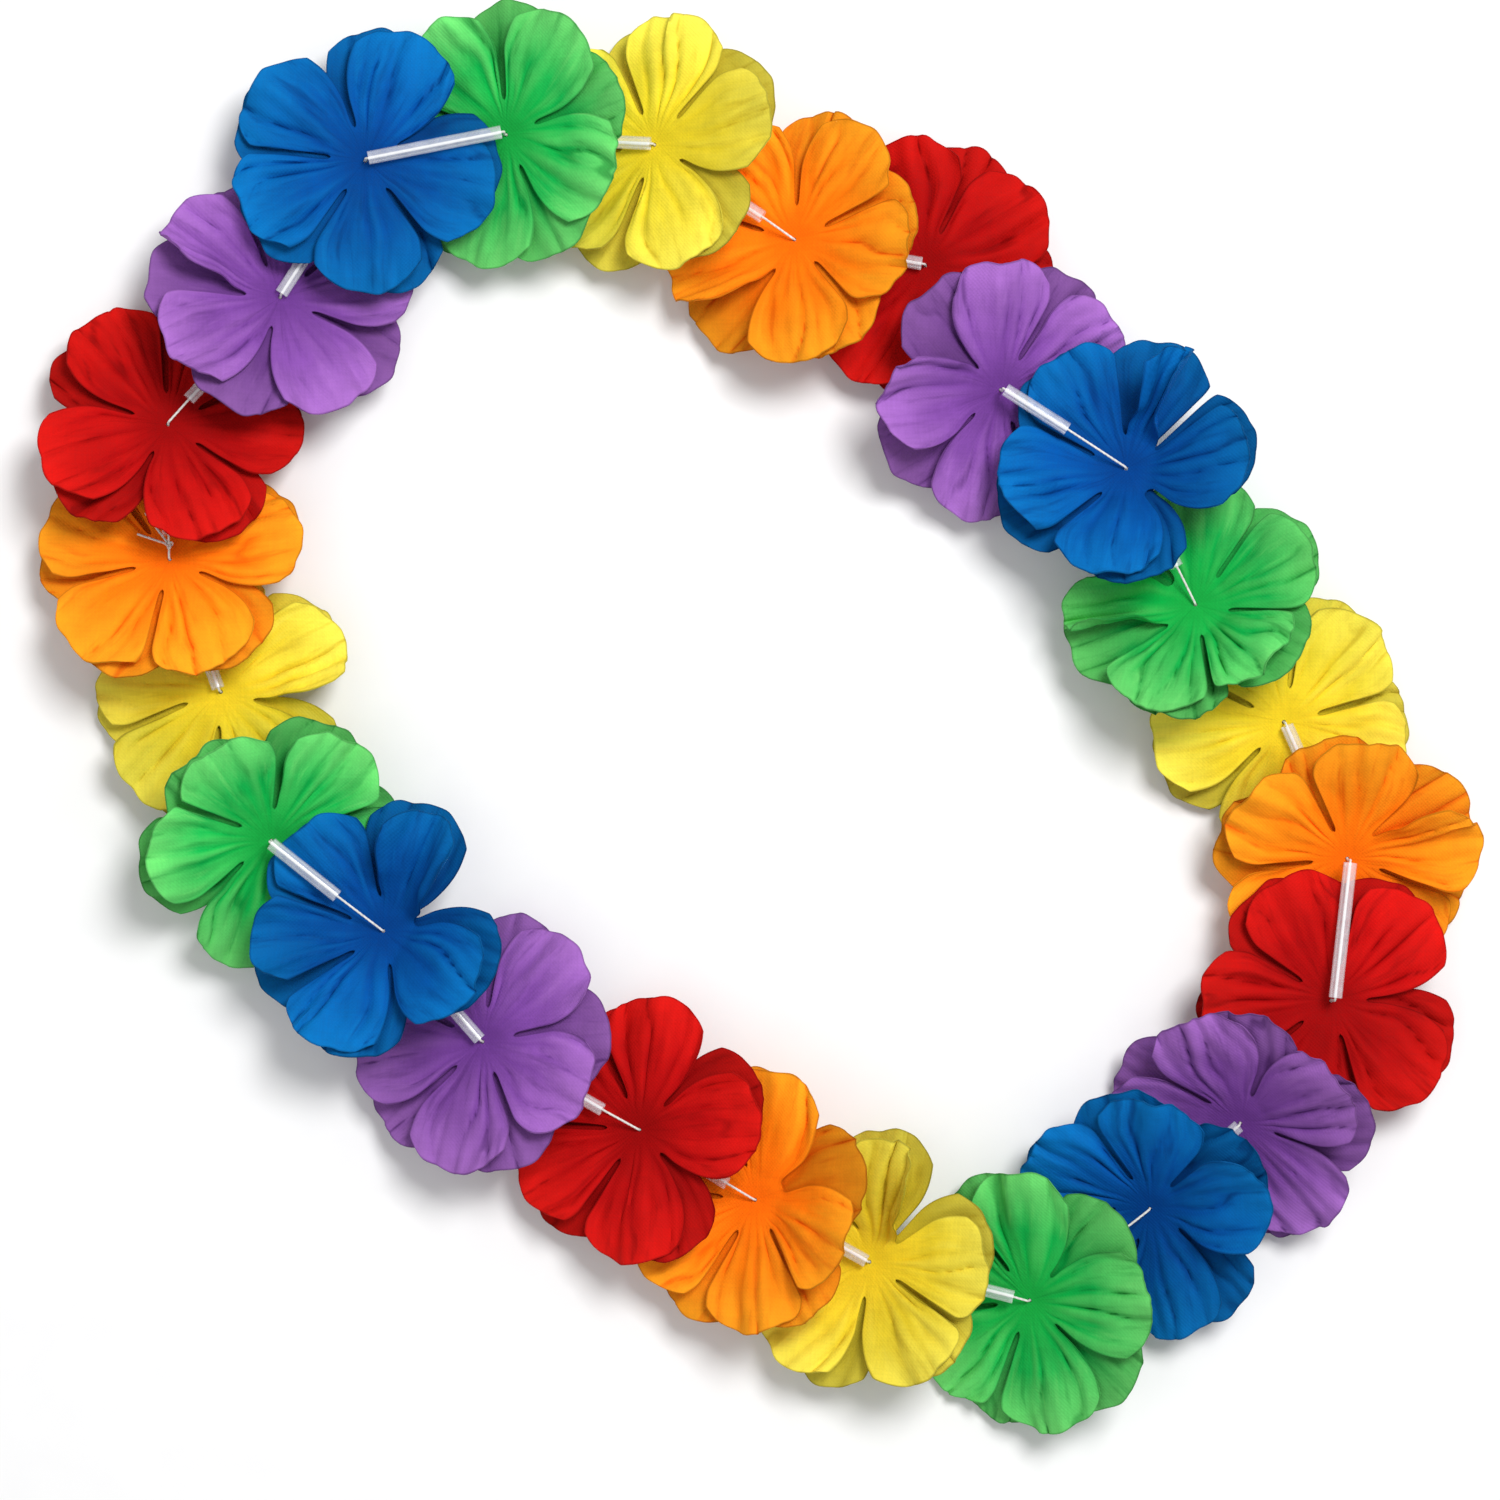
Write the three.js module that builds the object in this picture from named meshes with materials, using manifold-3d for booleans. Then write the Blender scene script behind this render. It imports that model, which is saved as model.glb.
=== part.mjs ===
// An artificial flower lei lying flat: cloth flowers in six colours on a thread, kept apart by
// clear plastic straws. Millimetres, +Z up, the surface it lies on at z = 0.
import * as THREE from 'three';
import Module from 'manifold-3d';
import { mergeVertices } from 'three/addons/utils/BufferGeometryUtils.js';

const wasm = await Module();
wasm.setup();

// Driving dimensions of one flower.
const petalReach = 38;        // hole to petal tip, along the cloth
const petalHalfWidth = 15.6;    // at the widest
const widestAt = 19;          // from the petal's foot, along the cloth
const slitReach = 10;         // hole to the inner end of the slits between petals
const slitGap = 1.3;          // between two petals of a layer
const clothThickness = 0.8;
const layerSpacing = 1.4;     // between the middles of the two layers, at the hub
const holeRadius = 1.6;
const collarRadius = 3.4;     // the two layers are joined inside this
const petalCount = 5;
const widestSpread = 44;      // degrees on each side of a petal's middle
const rimRound = 0.10;        // how much shorter a petal is at its sides, and at its corners
const rimCorner = 0.16;
const rimWave = 0.7;          // the rim's wave in and out
const rimWaves = 6;
const phaseStep = 1.7;        // from one petal's waves to the next one's
const ribHeight = 0.6;        // the broad pleats pressed into a petal
const ruffle = 0.7;           // the rim's slow wave, up and down
const droop = 0.35;           // the share of its rise that a petal loses on its way to the tip
const foldedFrom = 0.35;      // a folded petal has its full fold from here outwards
const underDrop = 4;          // degrees that the under layer lies below the upper one

// Driving dimensions of the string.
const threadRadius = 0.45;
const threadSides = 5;
const strawRadius = 1.9;
const strawBore = 1.5;
const strawStart = 3.2;       // hole to straw end, along the string
const strawClear = 3.4;       // straw axis to hub middle
const threadSag = 0.55;       // thread axis below the straw axis
const throughHole = 1.5;      // the thread runs square through the hub this far on both sides
const knotRadius = 1.4;
const knotAhead = 4.2;        // from V's hole towards the straw
const knotHeight = 1.6;       // above V's hole
const knotSides = 8;
const tailRadius = 0.36;
const tails = [[-7, 9, -2.4], [-9, 3, -0.8]];   // from the knot to each cut end
const tailMiddle = [0.4, 0.4, 0.25];            // the share of that way at a tail's middle point
const strawSides = 6;

// How petals are laid on what is under them.
const restGap = 0.8;
const tableGap = 0.1;
const liftStep = 2;           // degrees
const maxRise = 78;
const freeFoot = 0.45;        // a petal hangs free of what is below it up to here

// Under petals whose tips lie flat on the table: their number in the layer, the degrees that they
// droop further than the others, and how far they would reach below the table if they stayed
// straight.
const restingPetals = { E: 1, I: 3, N: 2, T: 4, U: 1 };
const restingDroop = 16;
const restingSink = 4.2;

const rad = THREE.MathUtils.degToRad;
const up = new THREE.Vector3(0, 0, 1);

const colours = {
  blue: 0x0050aa, green: 0x12b45a, yellow: 0xe8d23c,
  orange: 0xff8a1e, red: 0xc81414, purple: 0x8752aa,
};
const colourOrder = Object.keys(colours);

// Each flower, clockwise from the top left: its hole (x, y, z), the thread's way through it
// ('down' comes in on top and leaves underneath, 'up' the other way), its tilt in degrees, and for
// each upper petal the compass direction seen from above, its rise from the hub in degrees and,
// where it is folded up along its middle, how steep its two halves stand.
const flowers = {
  A: { hole: [-107.6, 164.9, 20.5], way: 'up', tilt: 4, turn: 0.35,
    petals: [[68, -2], [147, 2], [203, 6], [272, 0], [342, -4]] },
  B: { hole: [-68.3, 172.8, 16], way: 'down', tilt: 26, turn: 1,
    petals: [[58, 6], [125, 0], [195, -4], [260, 4], [334, 4]] },
  C: { hole: [-26.7, 169.9, 16], way: 'down', tilt: 26, turn: 0.5,
    petals: [[12, 6], [78, 0], [145, -4], [222, -4], [284, 4]] },
  D: { hole: [12.6, 143.3, 16], way: 'down', tilt: 26, turn: 0.6,
    petals: [[50, 10], [122, 4], [200, 0, 30], [276, 10], [348, 10]] },
  E: { hole: [49.4, 136.4, 13], way: 'down', tilt: 8, turn: 1,
    petals: [[30, -10], [100, -10], [170, -16], [232, -8], [302, -10]] },
  F: { hole: [70.2, 101.1, 17.5], way: 'up', tilt: 26, turn: 0.8,
    petals: [[326, -2], [30, 6], [92, 4], [185, 4, 25], [257, 0]] },
  G: { hole: [105.3, 78.7, 20.5], way: 'down', tilt: 18, turn: 0.3,
    petals: [[2, 28], [60, 18, 70], [120, 14], [192, 14], [260, 30]] },
  H: { hole: [125.0, 40.7, 17.5], way: 'down', tilt: 24, turn: 0.35,
    petals: [[20, 26], [82, 12], [190, 8, 60], [246, 22], [314, 36]] },
  I: { hole: [150.3, 7.9, 13], way: 'up', tilt: 8, turn: 0.4,
    petals: [[46, -10], [118, -10], [190, -10], [265, -14], [342, -14]] },
  J: { hole: [167.7, -30.3, 16], way: 'up', tilt: 26, turn: 0.6,
    petals: [[12, 4, 30], [83, 4], [152, 4], [216, 0], [312, 0]] },
  K: { hole: [162.9, -70.2, 18.5], way: 'down', tilt: 2, turn: 0.35,
    petals: [[44, -2], [112, -2], [182, -4], [250, -4], [318, -4]] },
  L: { hole: [137.6, -104.5, 17.5], way: 'up', tilt: 30, turn: -0.6,
    petals: [[26, 4], [112, 4], [178, 4], [243, 0], [312, 0]] },
  M: { hole: [112.4, -128.7, 16], way: 'up', tilt: 26, turn: 0.5,
    petals: [[12, 12, 20], [88, 20], [150, 18], [216, 4], [286, 4]] },
  N: { hole: [78.7, -154.5, 16], way: 'up', tilt: 28, turn: 0.9,
    petals: [[2, 4], [92, 10], [160, 0], [222, 0], [282, 0]] },
  O: { hole: [33.7, -143.8, 16], way: 'up', tilt: 28, turn: 0.35,
    petals: [[358, 6], [70, 22, 45], [150, 0], [229, 0], [300, 4]] },
  P: { hole: [1.6, -126.4, 16], way: 'up', tilt: 28, turn: 0.8,
    petals: [[330, 6], [72, 14], [140, 4], [212, 4], [272, 4]] },
  Q: { hole: [-30.9, -106.7, 16], way: 'up', tilt: 26, turn: 0.4,
    petals: [[4, 4], [80, 4], [148, 0], [208, 0], [268, 0]] },
  R: { hole: [-75.0, -82.0, 16], way: 'up', tilt: 26, turn: 0.8,
    petals: [[47, 0], [118, 0], [190, 0], [258, 0], [332, 4]] },
  S: { hole: [-102.5, -50.6, 21], way: 'up', tilt: 14, turn: 0.3,
    petals: [[325, 30], [60, 22, 45], [130, 8], [190, 8, 20], [242, 20]] },
  T: { hole: [-134.3, -25.3, 17.5], way: 'down', tilt: 24, turn: 0.35,
    petals: [[352, 0], [50, 6, 15], [120, 22], [182, 24], [250, 6, 20]] },
  U: { hole: [-148.9, 16.3, 13.5], way: 'up', tilt: 10, turn: 0.35,
    petals: [[26, -8, 30], [98, -14], [168, -14], [232, -10, 20], [306, -10]] },
  V: { hole: [-162.9, 53.4, 16], way: 'up', tilt: 24, turn: 0.35,
    petals: [[12, 0], [92, -4], [164, 0], [228, 4], [296, 4]] },
  W: { hole: [-163.5, 91.3, 16], way: 'up', tilt: 26, turn: 0.35,
    petals: [[357, 0], [62, -4], [128, 0], [202, 0], [292, 4]] },
  X: { hole: [-132.0, 127.0, 16], way: 'up', tilt: 26, turn: 0.8,
    petals: [[10, 0], [80, -4], [148, 4, 35], [210, 4], [300, 4]] },
};
const flowerNames = Object.keys(flowers);

// Flowers and the straws between two of them, in the order they are laid down.
const layingOrder = (
  'EF E DE D F HI I IJ H J TU U UV T V CD C BC B VW W WX X XA A AB GH G FG ' +
  'KL K JK L LM M MN N NO O OP P PQ Q QR R RS S ST').split(' ');

// The heights of what has been laid down, on a square grid.
const gridCell = 1.5;
const gridHalf = 230;
const gridWidth = Math.ceil(2 * gridHalf / gridCell);
const laidHeights = new Float32Array(gridWidth * gridWidth);
const cellOf = (x, y) =>
  Math.floor((y + gridHalf) / gridCell) * gridWidth + Math.floor((x + gridHalf) / gridCell);
const heightAt = (x, y) => laidHeights[cellOf(x, y)];
const layHeight = (x, y, z) => {
  const cell = cellOf(x, y);
  laidHeights[cell] = Math.max(laidHeights[cell], z);
};

// Straws that lie otherwise than most: how far each end is from the hole it points at, and how
// much higher or lower it stands because petals of the other flower lie between it and the hub.
const strawLay = {
  AB: { shift: [1, 5] },
  CD: { start: [3.2, 11] },
  EF: { shift: [0, -5.5] },
  FG: { shift: [5.5, 3.4], start: [3.2, 20] },
  GH: { start: [3.2, 12] },
  HI: { shift: [-5.5, 0] },
  JK: { shift: [5.6, 4.4] },
  KL: { shift: [0, -5] },
  MN: { start: [12, 3.2] },
  NO: { start: [5, 3.2] },
  PQ: { start: [9.4, 3.2] },
  QR: { start: [12, 3.2] },
  ST: { shift: [3.5, 5.8], start: [16, 3.2] },
  TU: { shift: [-5, 0] },
  VW: { start: [7, 3.2] },
  WX: { start: [9.4, 3.2] },
};

const neighbour = (name, step) =>
  flowerNames[(flowerNames.indexOf(name) + step + flowerNames.length) % flowerNames.length];
const knotted = 'V';
const holeOf = (name) => new THREE.Vector3(...flowers[name].hole);

// The hub's own axes: z is square to the hub's cloth, tilted along the string so that the thread
// goes through the hole from one side of the cloth to the other.
function hubFrame(name) {
  const flower = flowers[name];
  const ahead = holeOf(neighbour(name, 1)).sub(holeOf(neighbour(name, -1))).setZ(0).normalize();
  const uphill = flower.way === 'down' ? ahead : ahead.clone().negate();
  const normal = uphill.clone().multiplyScalar(-Math.sin(rad(flower.tilt)));
  normal.z = Math.cos(rad(flower.tilt));
  const x = new THREE.Vector3(1, 0, -normal.x / normal.z).normalize();
  const y = normal.clone().cross(x);
  return new THREE.Matrix4().makeBasis(x, y, normal).setPosition(holeOf(name));
}

// The direction in the hub's plane that is seen from above at this compass angle.
function angleInHub(frame, degrees) {
  const [x, y, normal] = [0, 1, 2].map((i) => new THREE.Vector3().setFromMatrixColumn(frame, i));
  const flat = new THREE.Vector3(Math.cos(rad(degrees)), Math.sin(rad(degrees)), 0);
  flat.z = -(flat.x * normal.x + flat.y * normal.y) / normal.z;
  return Math.atan2(flat.dot(y), flat.dot(x));
}

const turnBetween = (from, to) => {
  const turn = (to - from) % (2 * Math.PI);
  return turn < 0 ? turn + 2 * Math.PI : turn;
};

function setRise(petal, degrees) {
  petal.rise = degrees;
  petal.curl = -droop * degrees;
}

// The petals of one layer, each with its direction, the half angles to the slits on both sides,
// and its rise at the hub.
function makeLayer({ directions, rises, folds, middle, ruffling, rows }) {
  return directions.map((direction, i) => {
    const petal = {
      direction,
      middle,
      rows,
      ruffle: ruffling,
      fold: rad(folds[i] ?? 0),
      toLeft: turnBetween(direction, directions[(i + 1) % petalCount]) / 2,
      toRight: turnBetween(directions[(i + petalCount - 1) % petalCount], direction) / 2,
      phase: phaseStep * i,
    };
    setRise(petal, rises[i]);
    return petal;
  });
}

const slitPoint = (angle, middle) =>
  new THREE.Vector3(slitReach * Math.cos(angle), slitReach * Math.sin(angle), middle);

// A point of a petal's middle surface and the cloth's normal there, in the hub's frame.
// out runs from 0 at the hub to 1 at the rim, across from -1 to 1.
function petalPoint(petal, out, across) {
  const side = Math.abs(across);
  const halfAngle = across < 0 ? petal.toRight : petal.toLeft;
  const middleAlong = slitReach * (Math.cos(petal.toLeft) + Math.cos(petal.toRight)) / 2;
  const baseAlong = middleAlong + side * (slitReach * Math.cos(halfAngle) - middleAlong);
  const baseAcross = slitReach * Math.sin(halfAngle);
  const rim = petalReach * (1 - rimRound * side ** 2 - rimCorner * side ** 4)
    + rimWave * Math.cos(rimWaves * across + petal.phase) * (1 - side ** 4);
  const length = out * (rim - baseAlong);
  const rise = rad(petal.rise);
  const curl = rad(petal.curl) / petalReach;
  const bend = rise + curl * length;
  const straight = Math.abs(curl) < 1e-5;
  const along = baseAlong + (straight ? length * Math.cos(rise)
    : (Math.sin(bend) - Math.sin(rise)) / curl);
  const lift = straight ? length * Math.sin(rise) : (Math.cos(rise) - Math.cos(bend)) / curl;
  const swell = Math.sin(Math.PI / 2 * Math.min(1, length / widestAt));
  const free = baseAcross + (petalHalfWidth - baseAcross) * swell;
  const room = along * Math.tan(Math.min(halfAngle, rad(widestSpread))) - slitGap / 2;
  const width = out === 0 ? baseAcross : Math.min(free, room);
  const wave = ribHeight * out * Math.cos(2 * Math.PI * across)
    + petal.ruffle * out ** 2 * Math.sin(1.5 * Math.PI * across + petal.phase);
  const fold = petal.fold * Math.min(1, out / foldedFrom);
  const outwards = new THREE.Vector3(Math.cos(petal.direction), Math.sin(petal.direction), 0);
  const sideways = new THREE.Vector3(-outwards.y, outwards.x, 0);
  const square = outwards.clone().multiplyScalar(-Math.sin(bend)).addScaledVector(up, Math.cos(bend));
  const normal = out === 0 ? up.clone() : square.clone().multiplyScalar(Math.cos(fold))
    .addScaledVector(sideways, -Math.sign(across) * Math.sin(fold)).normalize();
  const point = new THREE.Vector3(0, 0, petal.middle + lift)
    .addScaledVector(outwards, along)
    .addScaledVector(sideways, across * width * Math.cos(fold))
    .addScaledVector(square, side * width * Math.sin(fold))
    .addScaledVector(normal, wave);
  return { point, normal };
}

// The steps across and outwards at which a petal's cloth is cut into triangles.
const acrossSteps = [-1, -0.5, 0, 0.5, 1];
const petalRows = { upper: [0, 0.3, 0.65, 1], under: [0, 0.5, 1], resting: [0, 0.5, 0.8, 1] };

// Visits points all over a petal's facets, in the world.
function overFacets(petal, frame, visit) {
  const steps = 5;
  const { rows } = petal;
  const corner = (out, across) => petalPoint(petal, out, across).point.applyMatrix4(frame);
  for (let r = 1; r < rows.length; r++) {
    for (let a = 1; a < acrossSteps.length; a++) {
      const [p, q] = [corner(rows[r - 1], acrossSteps[a - 1]), corner(rows[r - 1], acrossSteps[a])];
      const [m, n] = [corner(rows[r], acrossSteps[a - 1]), corner(rows[r], acrossSteps[a])];
      for (let i = 0; i <= steps; i++) {
        for (let j = 0; j <= steps; j++) {
          const near = p.clone().lerp(q, i / steps);
          visit(near.lerp(m.clone().lerp(n, i / steps), j / steps), r === 1 ? j / steps : 1);
        }
      }
    }
  }
}

// Raises a petal until it lies clear on what is under it.
function layPetal(petal, frame) {
  const gapOnTable = petal.rows === petalRows.resting ? -restingSink : tableGap;
  const isClear = () => {
    let clear = true;
    overFacets(petal, frame, (point, out) => {
      const floor = heightAt(point.x, point.y);
      const gap = floor > 0 ? restGap : gapOnTable;
      if (out > freeFoot && point.z - clothThickness / 2 < floor + gap) clear = false;
    });
    return clear;
  };
  while (!isClear() && petal.rise < maxRise) setRise(petal, petal.rise + liftStep);
}

const recordPetal = (petal, frame) =>
  overFacets(petal, frame, (p) => layHeight(p.x, p.y, p.z + clothThickness / 2));

// The straw between a flower and the next one, its two ends clear of the hubs it points at.
function strawEnds(name) {
  const next = neighbour(name, 1);
  const from = holeOf(name);
  const to = holeOf(next);
  const ahead = to.clone().sub(from).normalize();
  const { shift = [0, 0], start = [strawStart, strawStart] } = strawLay[name + next] ?? {};
  const endAt = (end, hole, flower, direction, above) => {
    const normal = new THREE.Vector3().setFromMatrixColumn(hubFrame(flower), 2);
    const slope = Math.abs(normal.dot(direction));
    const height = (strawClear - strawStart * slope) / normal.z;
    return hole.clone().addScaledVector(direction, start[end])
      .addScaledVector(up, above * height + shift[end]);
  };
  return [
    endAt(0, from, name, ahead, flowers[name].way === 'up' ? 1 : -1),
    endAt(1, to, next, ahead.clone().negate(), flowers[next].way === 'up' ? -1 : 1),
  ];
}

function recordStraw([start, end]) {
  const ahead = end.clone().sub(start);
  const aside = ahead.clone().cross(up).normalize();
  const steps = 40;
  for (let i = 0; i <= steps; i++) {
    for (let j = -4; j <= 4; j++) {
      const p = start.clone().addScaledVector(ahead, i / steps)
        .addScaledVector(aside, strawRadius * j / 4);
      layHeight(p.x, p.y, p.z + strawRadius * Math.sqrt(1 - (j / 4) ** 2));
    }
  }
}

// Both layers of a flower, laid on what is there already.
function layFlower(name) {
  const frame = hubFrame(name);
  const { petals } = flowers[name];
  const directions = petals.map(([degrees]) => angleInHub(frame, degrees));
  const wished = petals.map(([, rise]) => rise);
  const upper = makeLayer({
    directions,
    rises: wished,
    folds: petals.map(([, , fold]) => fold),
    middle: layerSpacing / 2,
    ruffling: ruffle,
    rows: petalRows.upper,
  });
  const { turn } = flowers[name];
  const under = makeLayer({
    directions: upper.map((petal) =>
      petal.direction + turn * (turn < 0 ? petal.toRight : petal.toLeft)),
    rises: wished.map((rise, i) => Math.min(rise, wished[(i + 1) % petalCount]) - underDrop),
    folds: [],
    middle: -layerSpacing / 2,
    ruffling: 0,
    rows: petalRows.under,
  });
  const resting = under[restingPetals[name]];
  if (resting) {
    resting.rows = petalRows.resting;
    setRise(resting, resting.rise - restingDroop);
  }
  for (const petal of under) layPetal(petal, frame);
  upper.forEach((petal, i) => {
    const below = [under[i], under[(i + petalCount - Math.sign(turn)) % petalCount]];
    setRise(petal, Math.max(petal.rise, ...below.map((other) => other.rise + underDrop)));
    layPetal(petal, frame);
  });
  for (const petal of [...under, ...upper]) recordPetal(petal, frame);
  return { frame, upper, under };
}

const laidFlowers = {};
const laidStraws = {};
for (const item of layingOrder) {
  if (item.length === 1) {
    laidFlowers[item] = layFlower(item);
  } else {
    laidStraws[item] = strawEnds(item[0]);
    recordStraw(laidStraws[item]);
  }
}

// A geometry from points and triangles.
function solid(points, triangles) {
  const geometry = new THREE.BufferGeometry();
  geometry.setAttribute('position', new THREE.Float32BufferAttribute(
    points.flatMap((p) => [p.x, p.y, p.z]), 3));
  geometry.setIndex(triangles.flat());
  return geometry;
}

// Joins a ring of points round the hub to a wider one with triangles that face up.
function joinRings(inner, outer) {
  const fromFirst = (ring) => ring
    .map(({ index, angle }) => ({ index, angle: turnBetween(inner[0].angle, angle) }))
    .sort((a, b) => a.angle - b.angle);
  const [near, far] = [fromFirst(inner), fromFirst(outer)];
  const at = (ring, i) => ring[i % ring.length];
  const angleAt = (ring, i) => at(ring, i).angle + 2 * Math.PI * Math.floor(i / ring.length);
  const triangles = [];
  let [i, j] = [0, 0];
  while (i < near.length || j < far.length) {
    const [p, q] = [at(near, i).index, at(far, j).index];
    const nearIsNext = i < near.length && angleAt(near, i + 1) <= angleAt(far, j + 1);
    if (j >= far.length || nearIsNext) {
      i += 1;
      triangles.push([p, q, at(near, i).index]);
    } else {
      j += 1;
      triangles.push([p, q, at(far, j).index]);
    }
  }
  return triangles;
}

// One flower as a single closed body: two layers of cloth joined by a collar round the hole.
function flowerGeometry({ frame, upper, under }) {
  const points = [];
  const triangles = [];
  const ringAngles = upper.map((petal) => petal.direction + petal.toLeft);
  // A column is a point of the cloth's middle: it gets one point on each face. Cloth that would
  // reach below the table lies flat on it.
  const column = (localPoint, localNormal) => {
    const point = localPoint.clone().applyMatrix4(frame);
    const normal = localNormal.clone().transformDirection(frame);
    if (point.z - normal.z * clothThickness / 2 < 0) {
      point.z = clothThickness / 2;
      normal.copy(up);
    }
    points.push(point.clone().addScaledVector(normal, clothThickness / 2));
    points.push(point.clone().addScaledVector(normal, -clothThickness / 2));
    return points.length / 2 - 1;
  };
  const ringOf = (radius, middle) => ringAngles.map((angle) => ({
    angle,
    index: column(new THREE.Vector3(radius * Math.cos(angle), radius * Math.sin(angle), middle), up),
  }));

  const layer = (petals) => {
    const { middle } = petals[0];
    const hole = ringOf(holeRadius, middle);
    const collar = ringOf(collarRadius, middle);
    const corners = petals.map((petal) => {
      const angle = petal.direction + petal.toLeft;
      return { angle, index: column(slitPoint(angle, middle), up) };
    });
    const bases = petals.map((petal) => {
      const { point, normal } = petalPoint(petal, 0, 0);
      return { angle: petal.direction, index: column(point, normal) };
    });
    const cloth = joinRings(collar, petals.flatMap((_, i) => [bases[i], corners[i]]));
    petals.forEach((petal, i) => {
      let last = [corners[(i + petalCount - 1) % petalCount], bases[i], corners[i]]
        .map(({ index }) => index);
      for (const out of petal.rows.slice(1)) {
        const next = acrossSteps.map((across) => {
          const { point, normal } = petalPoint(petal, out, across);
          return column(point, normal);
        });
        if (last.length === 3) {
          cloth.push([last[0], next[0], next[1]], [last[0], next[1], last[1]]);
          cloth.push([last[1], next[1], next[2]], [last[1], next[2], next[3]]);
          cloth.push([last[1], next[3], last[2]], [last[2], next[3], next[4]]);
        } else {
          for (let a = 1; a < next.length; a++) {
            cloth.push([last[a - 1], next[a - 1], next[a]], [last[a - 1], next[a], last[a]]);
          }
        }
        last = next;
      }
    });
    return { hole, collar, cloth, hub: joinRings(hole, collar) };
  };

  const top = (i) => 2 * i;
  const bottom = (i) => 2 * i + 1;
  const faceUp = (list) => list.forEach(([a, b, c]) => triangles.push([top(a), top(b), top(c)]));
  const faceDown = (list) =>
    list.forEach(([a, b, c]) => triangles.push([bottom(a), bottom(c), bottom(b)]));
  // The cloth's cut edges: every edge that only one triangle uses, apart from the collar's.
  const cutEdges = ({ cloth, collar }) => {
    const onCollar = new Set(collar.map(({ index }) => index));
    const open = new Map();
    for (const [a, b, c] of cloth) {
      for (const [p, q] of [[a, b], [b, c], [c, a]]) {
        if (!open.delete(`${q} ${p}`)) open.set(`${p} ${q}`, [p, q]);
      }
    }
    for (const [p, q] of open.values()) {
      if (onCollar.has(p) && onCollar.has(q)) continue;
      triangles.push([top(p), bottom(p), bottom(q)], [top(p), bottom(q), top(q)]);
    }
  };

  const [upperLayer, underLayer] = [layer(upper), layer(under)];
  faceUp([...upperLayer.cloth, ...upperLayer.hub]);
  faceDown(upperLayer.cloth);
  faceUp(underLayer.cloth);
  faceDown([...underLayer.cloth, ...underLayer.hub]);
  cutEdges(upperLayer);
  cutEdges(underLayer);
  const wall = (above, below, inwards) => above.forEach((_, i) => {
    const j = (i + 1) % above.length;
    const [a, b] = inwards ? [i, j] : [j, i];
    triangles.push([above[a], above[b], below[b]], [above[a], below[b], below[a]]);
  });
  const indices = (ring, face) => ring.map(({ index }) => face(index));
  wall(indices(upperLayer.hole, top), indices(underLayer.hole, bottom), true);
  wall(indices(upperLayer.collar, bottom), indices(underLayer.collar, top), false);
  return solid(points, triangles);
}

// A straight open tube between two points.
function strawGeometry([start, end]) {
  const length = start.distanceTo(end);
  const profile = [
    [strawBore, 0], [strawRadius, 0], [strawRadius, length], [strawBore, length], [strawBore, 0],
  ].map(([r, h]) => new THREE.Vector2(r, h));
  const geometry = new THREE.LatheGeometry(profile, strawSides);
  const turn = new THREE.Quaternion().setFromUnitVectors(
    new THREE.Vector3(0, 1, 0), end.clone().sub(start).normalize());
  geometry.applyQuaternion(turn).translate(start.x, start.y, start.z);
  return geometry;
}

function toManifold(geometry) {
  const bare = new THREE.BufferGeometry();
  bare.setAttribute('position', geometry.getAttribute('position'));
  bare.setIndex(geometry.getIndex());
  const merged = mergeVertices(bare, 1e-3);
  return new wasm.Manifold(new wasm.Mesh({
    numProp: 3,
    vertProperties: new Float32Array(merged.getAttribute('position').array),
    triVerts: new Uint32Array(merged.getIndex().array),
  }));
}

function fromManifold(body) {
  const { vertProperties, triVerts } = body.getMesh();
  const geometry = new THREE.BufferGeometry();
  geometry.setAttribute('position', new THREE.BufferAttribute(vertProperties, 3));
  geometry.setIndex(new THREE.BufferAttribute(triVerts, 1));
  return geometry;
}

// A path that runs straight from each of its points to the next.
class Route extends THREE.Curve {
  constructor(points) {
    super();
    this.points = points;
  }

  getPoint(t) {
    const place = t * (this.points.length - 1);
    const i = Math.min(Math.floor(place + 1e-6), this.points.length - 2);
    return this.points[i].clone().lerp(this.points[i + 1], place - i);
  }

  getPointAt(t) {
    return this.getPoint(t);
  }
}

function roundRod(points, radius) {
  const section = new THREE.Shape();
  for (let i = 0; i < threadSides; i++) {
    const angle = 2 * Math.PI * i / threadSides;
    const [x, y] = [radius * Math.cos(angle), radius * Math.sin(angle)];
    if (i === 0) section.moveTo(x, y);
    else section.lineTo(x, y);
  }
  section.closePath();
  return new THREE.ExtrudeGeometry(section,
    { steps: points.length - 1, extrudePath: new Route(points) });
}

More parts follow.
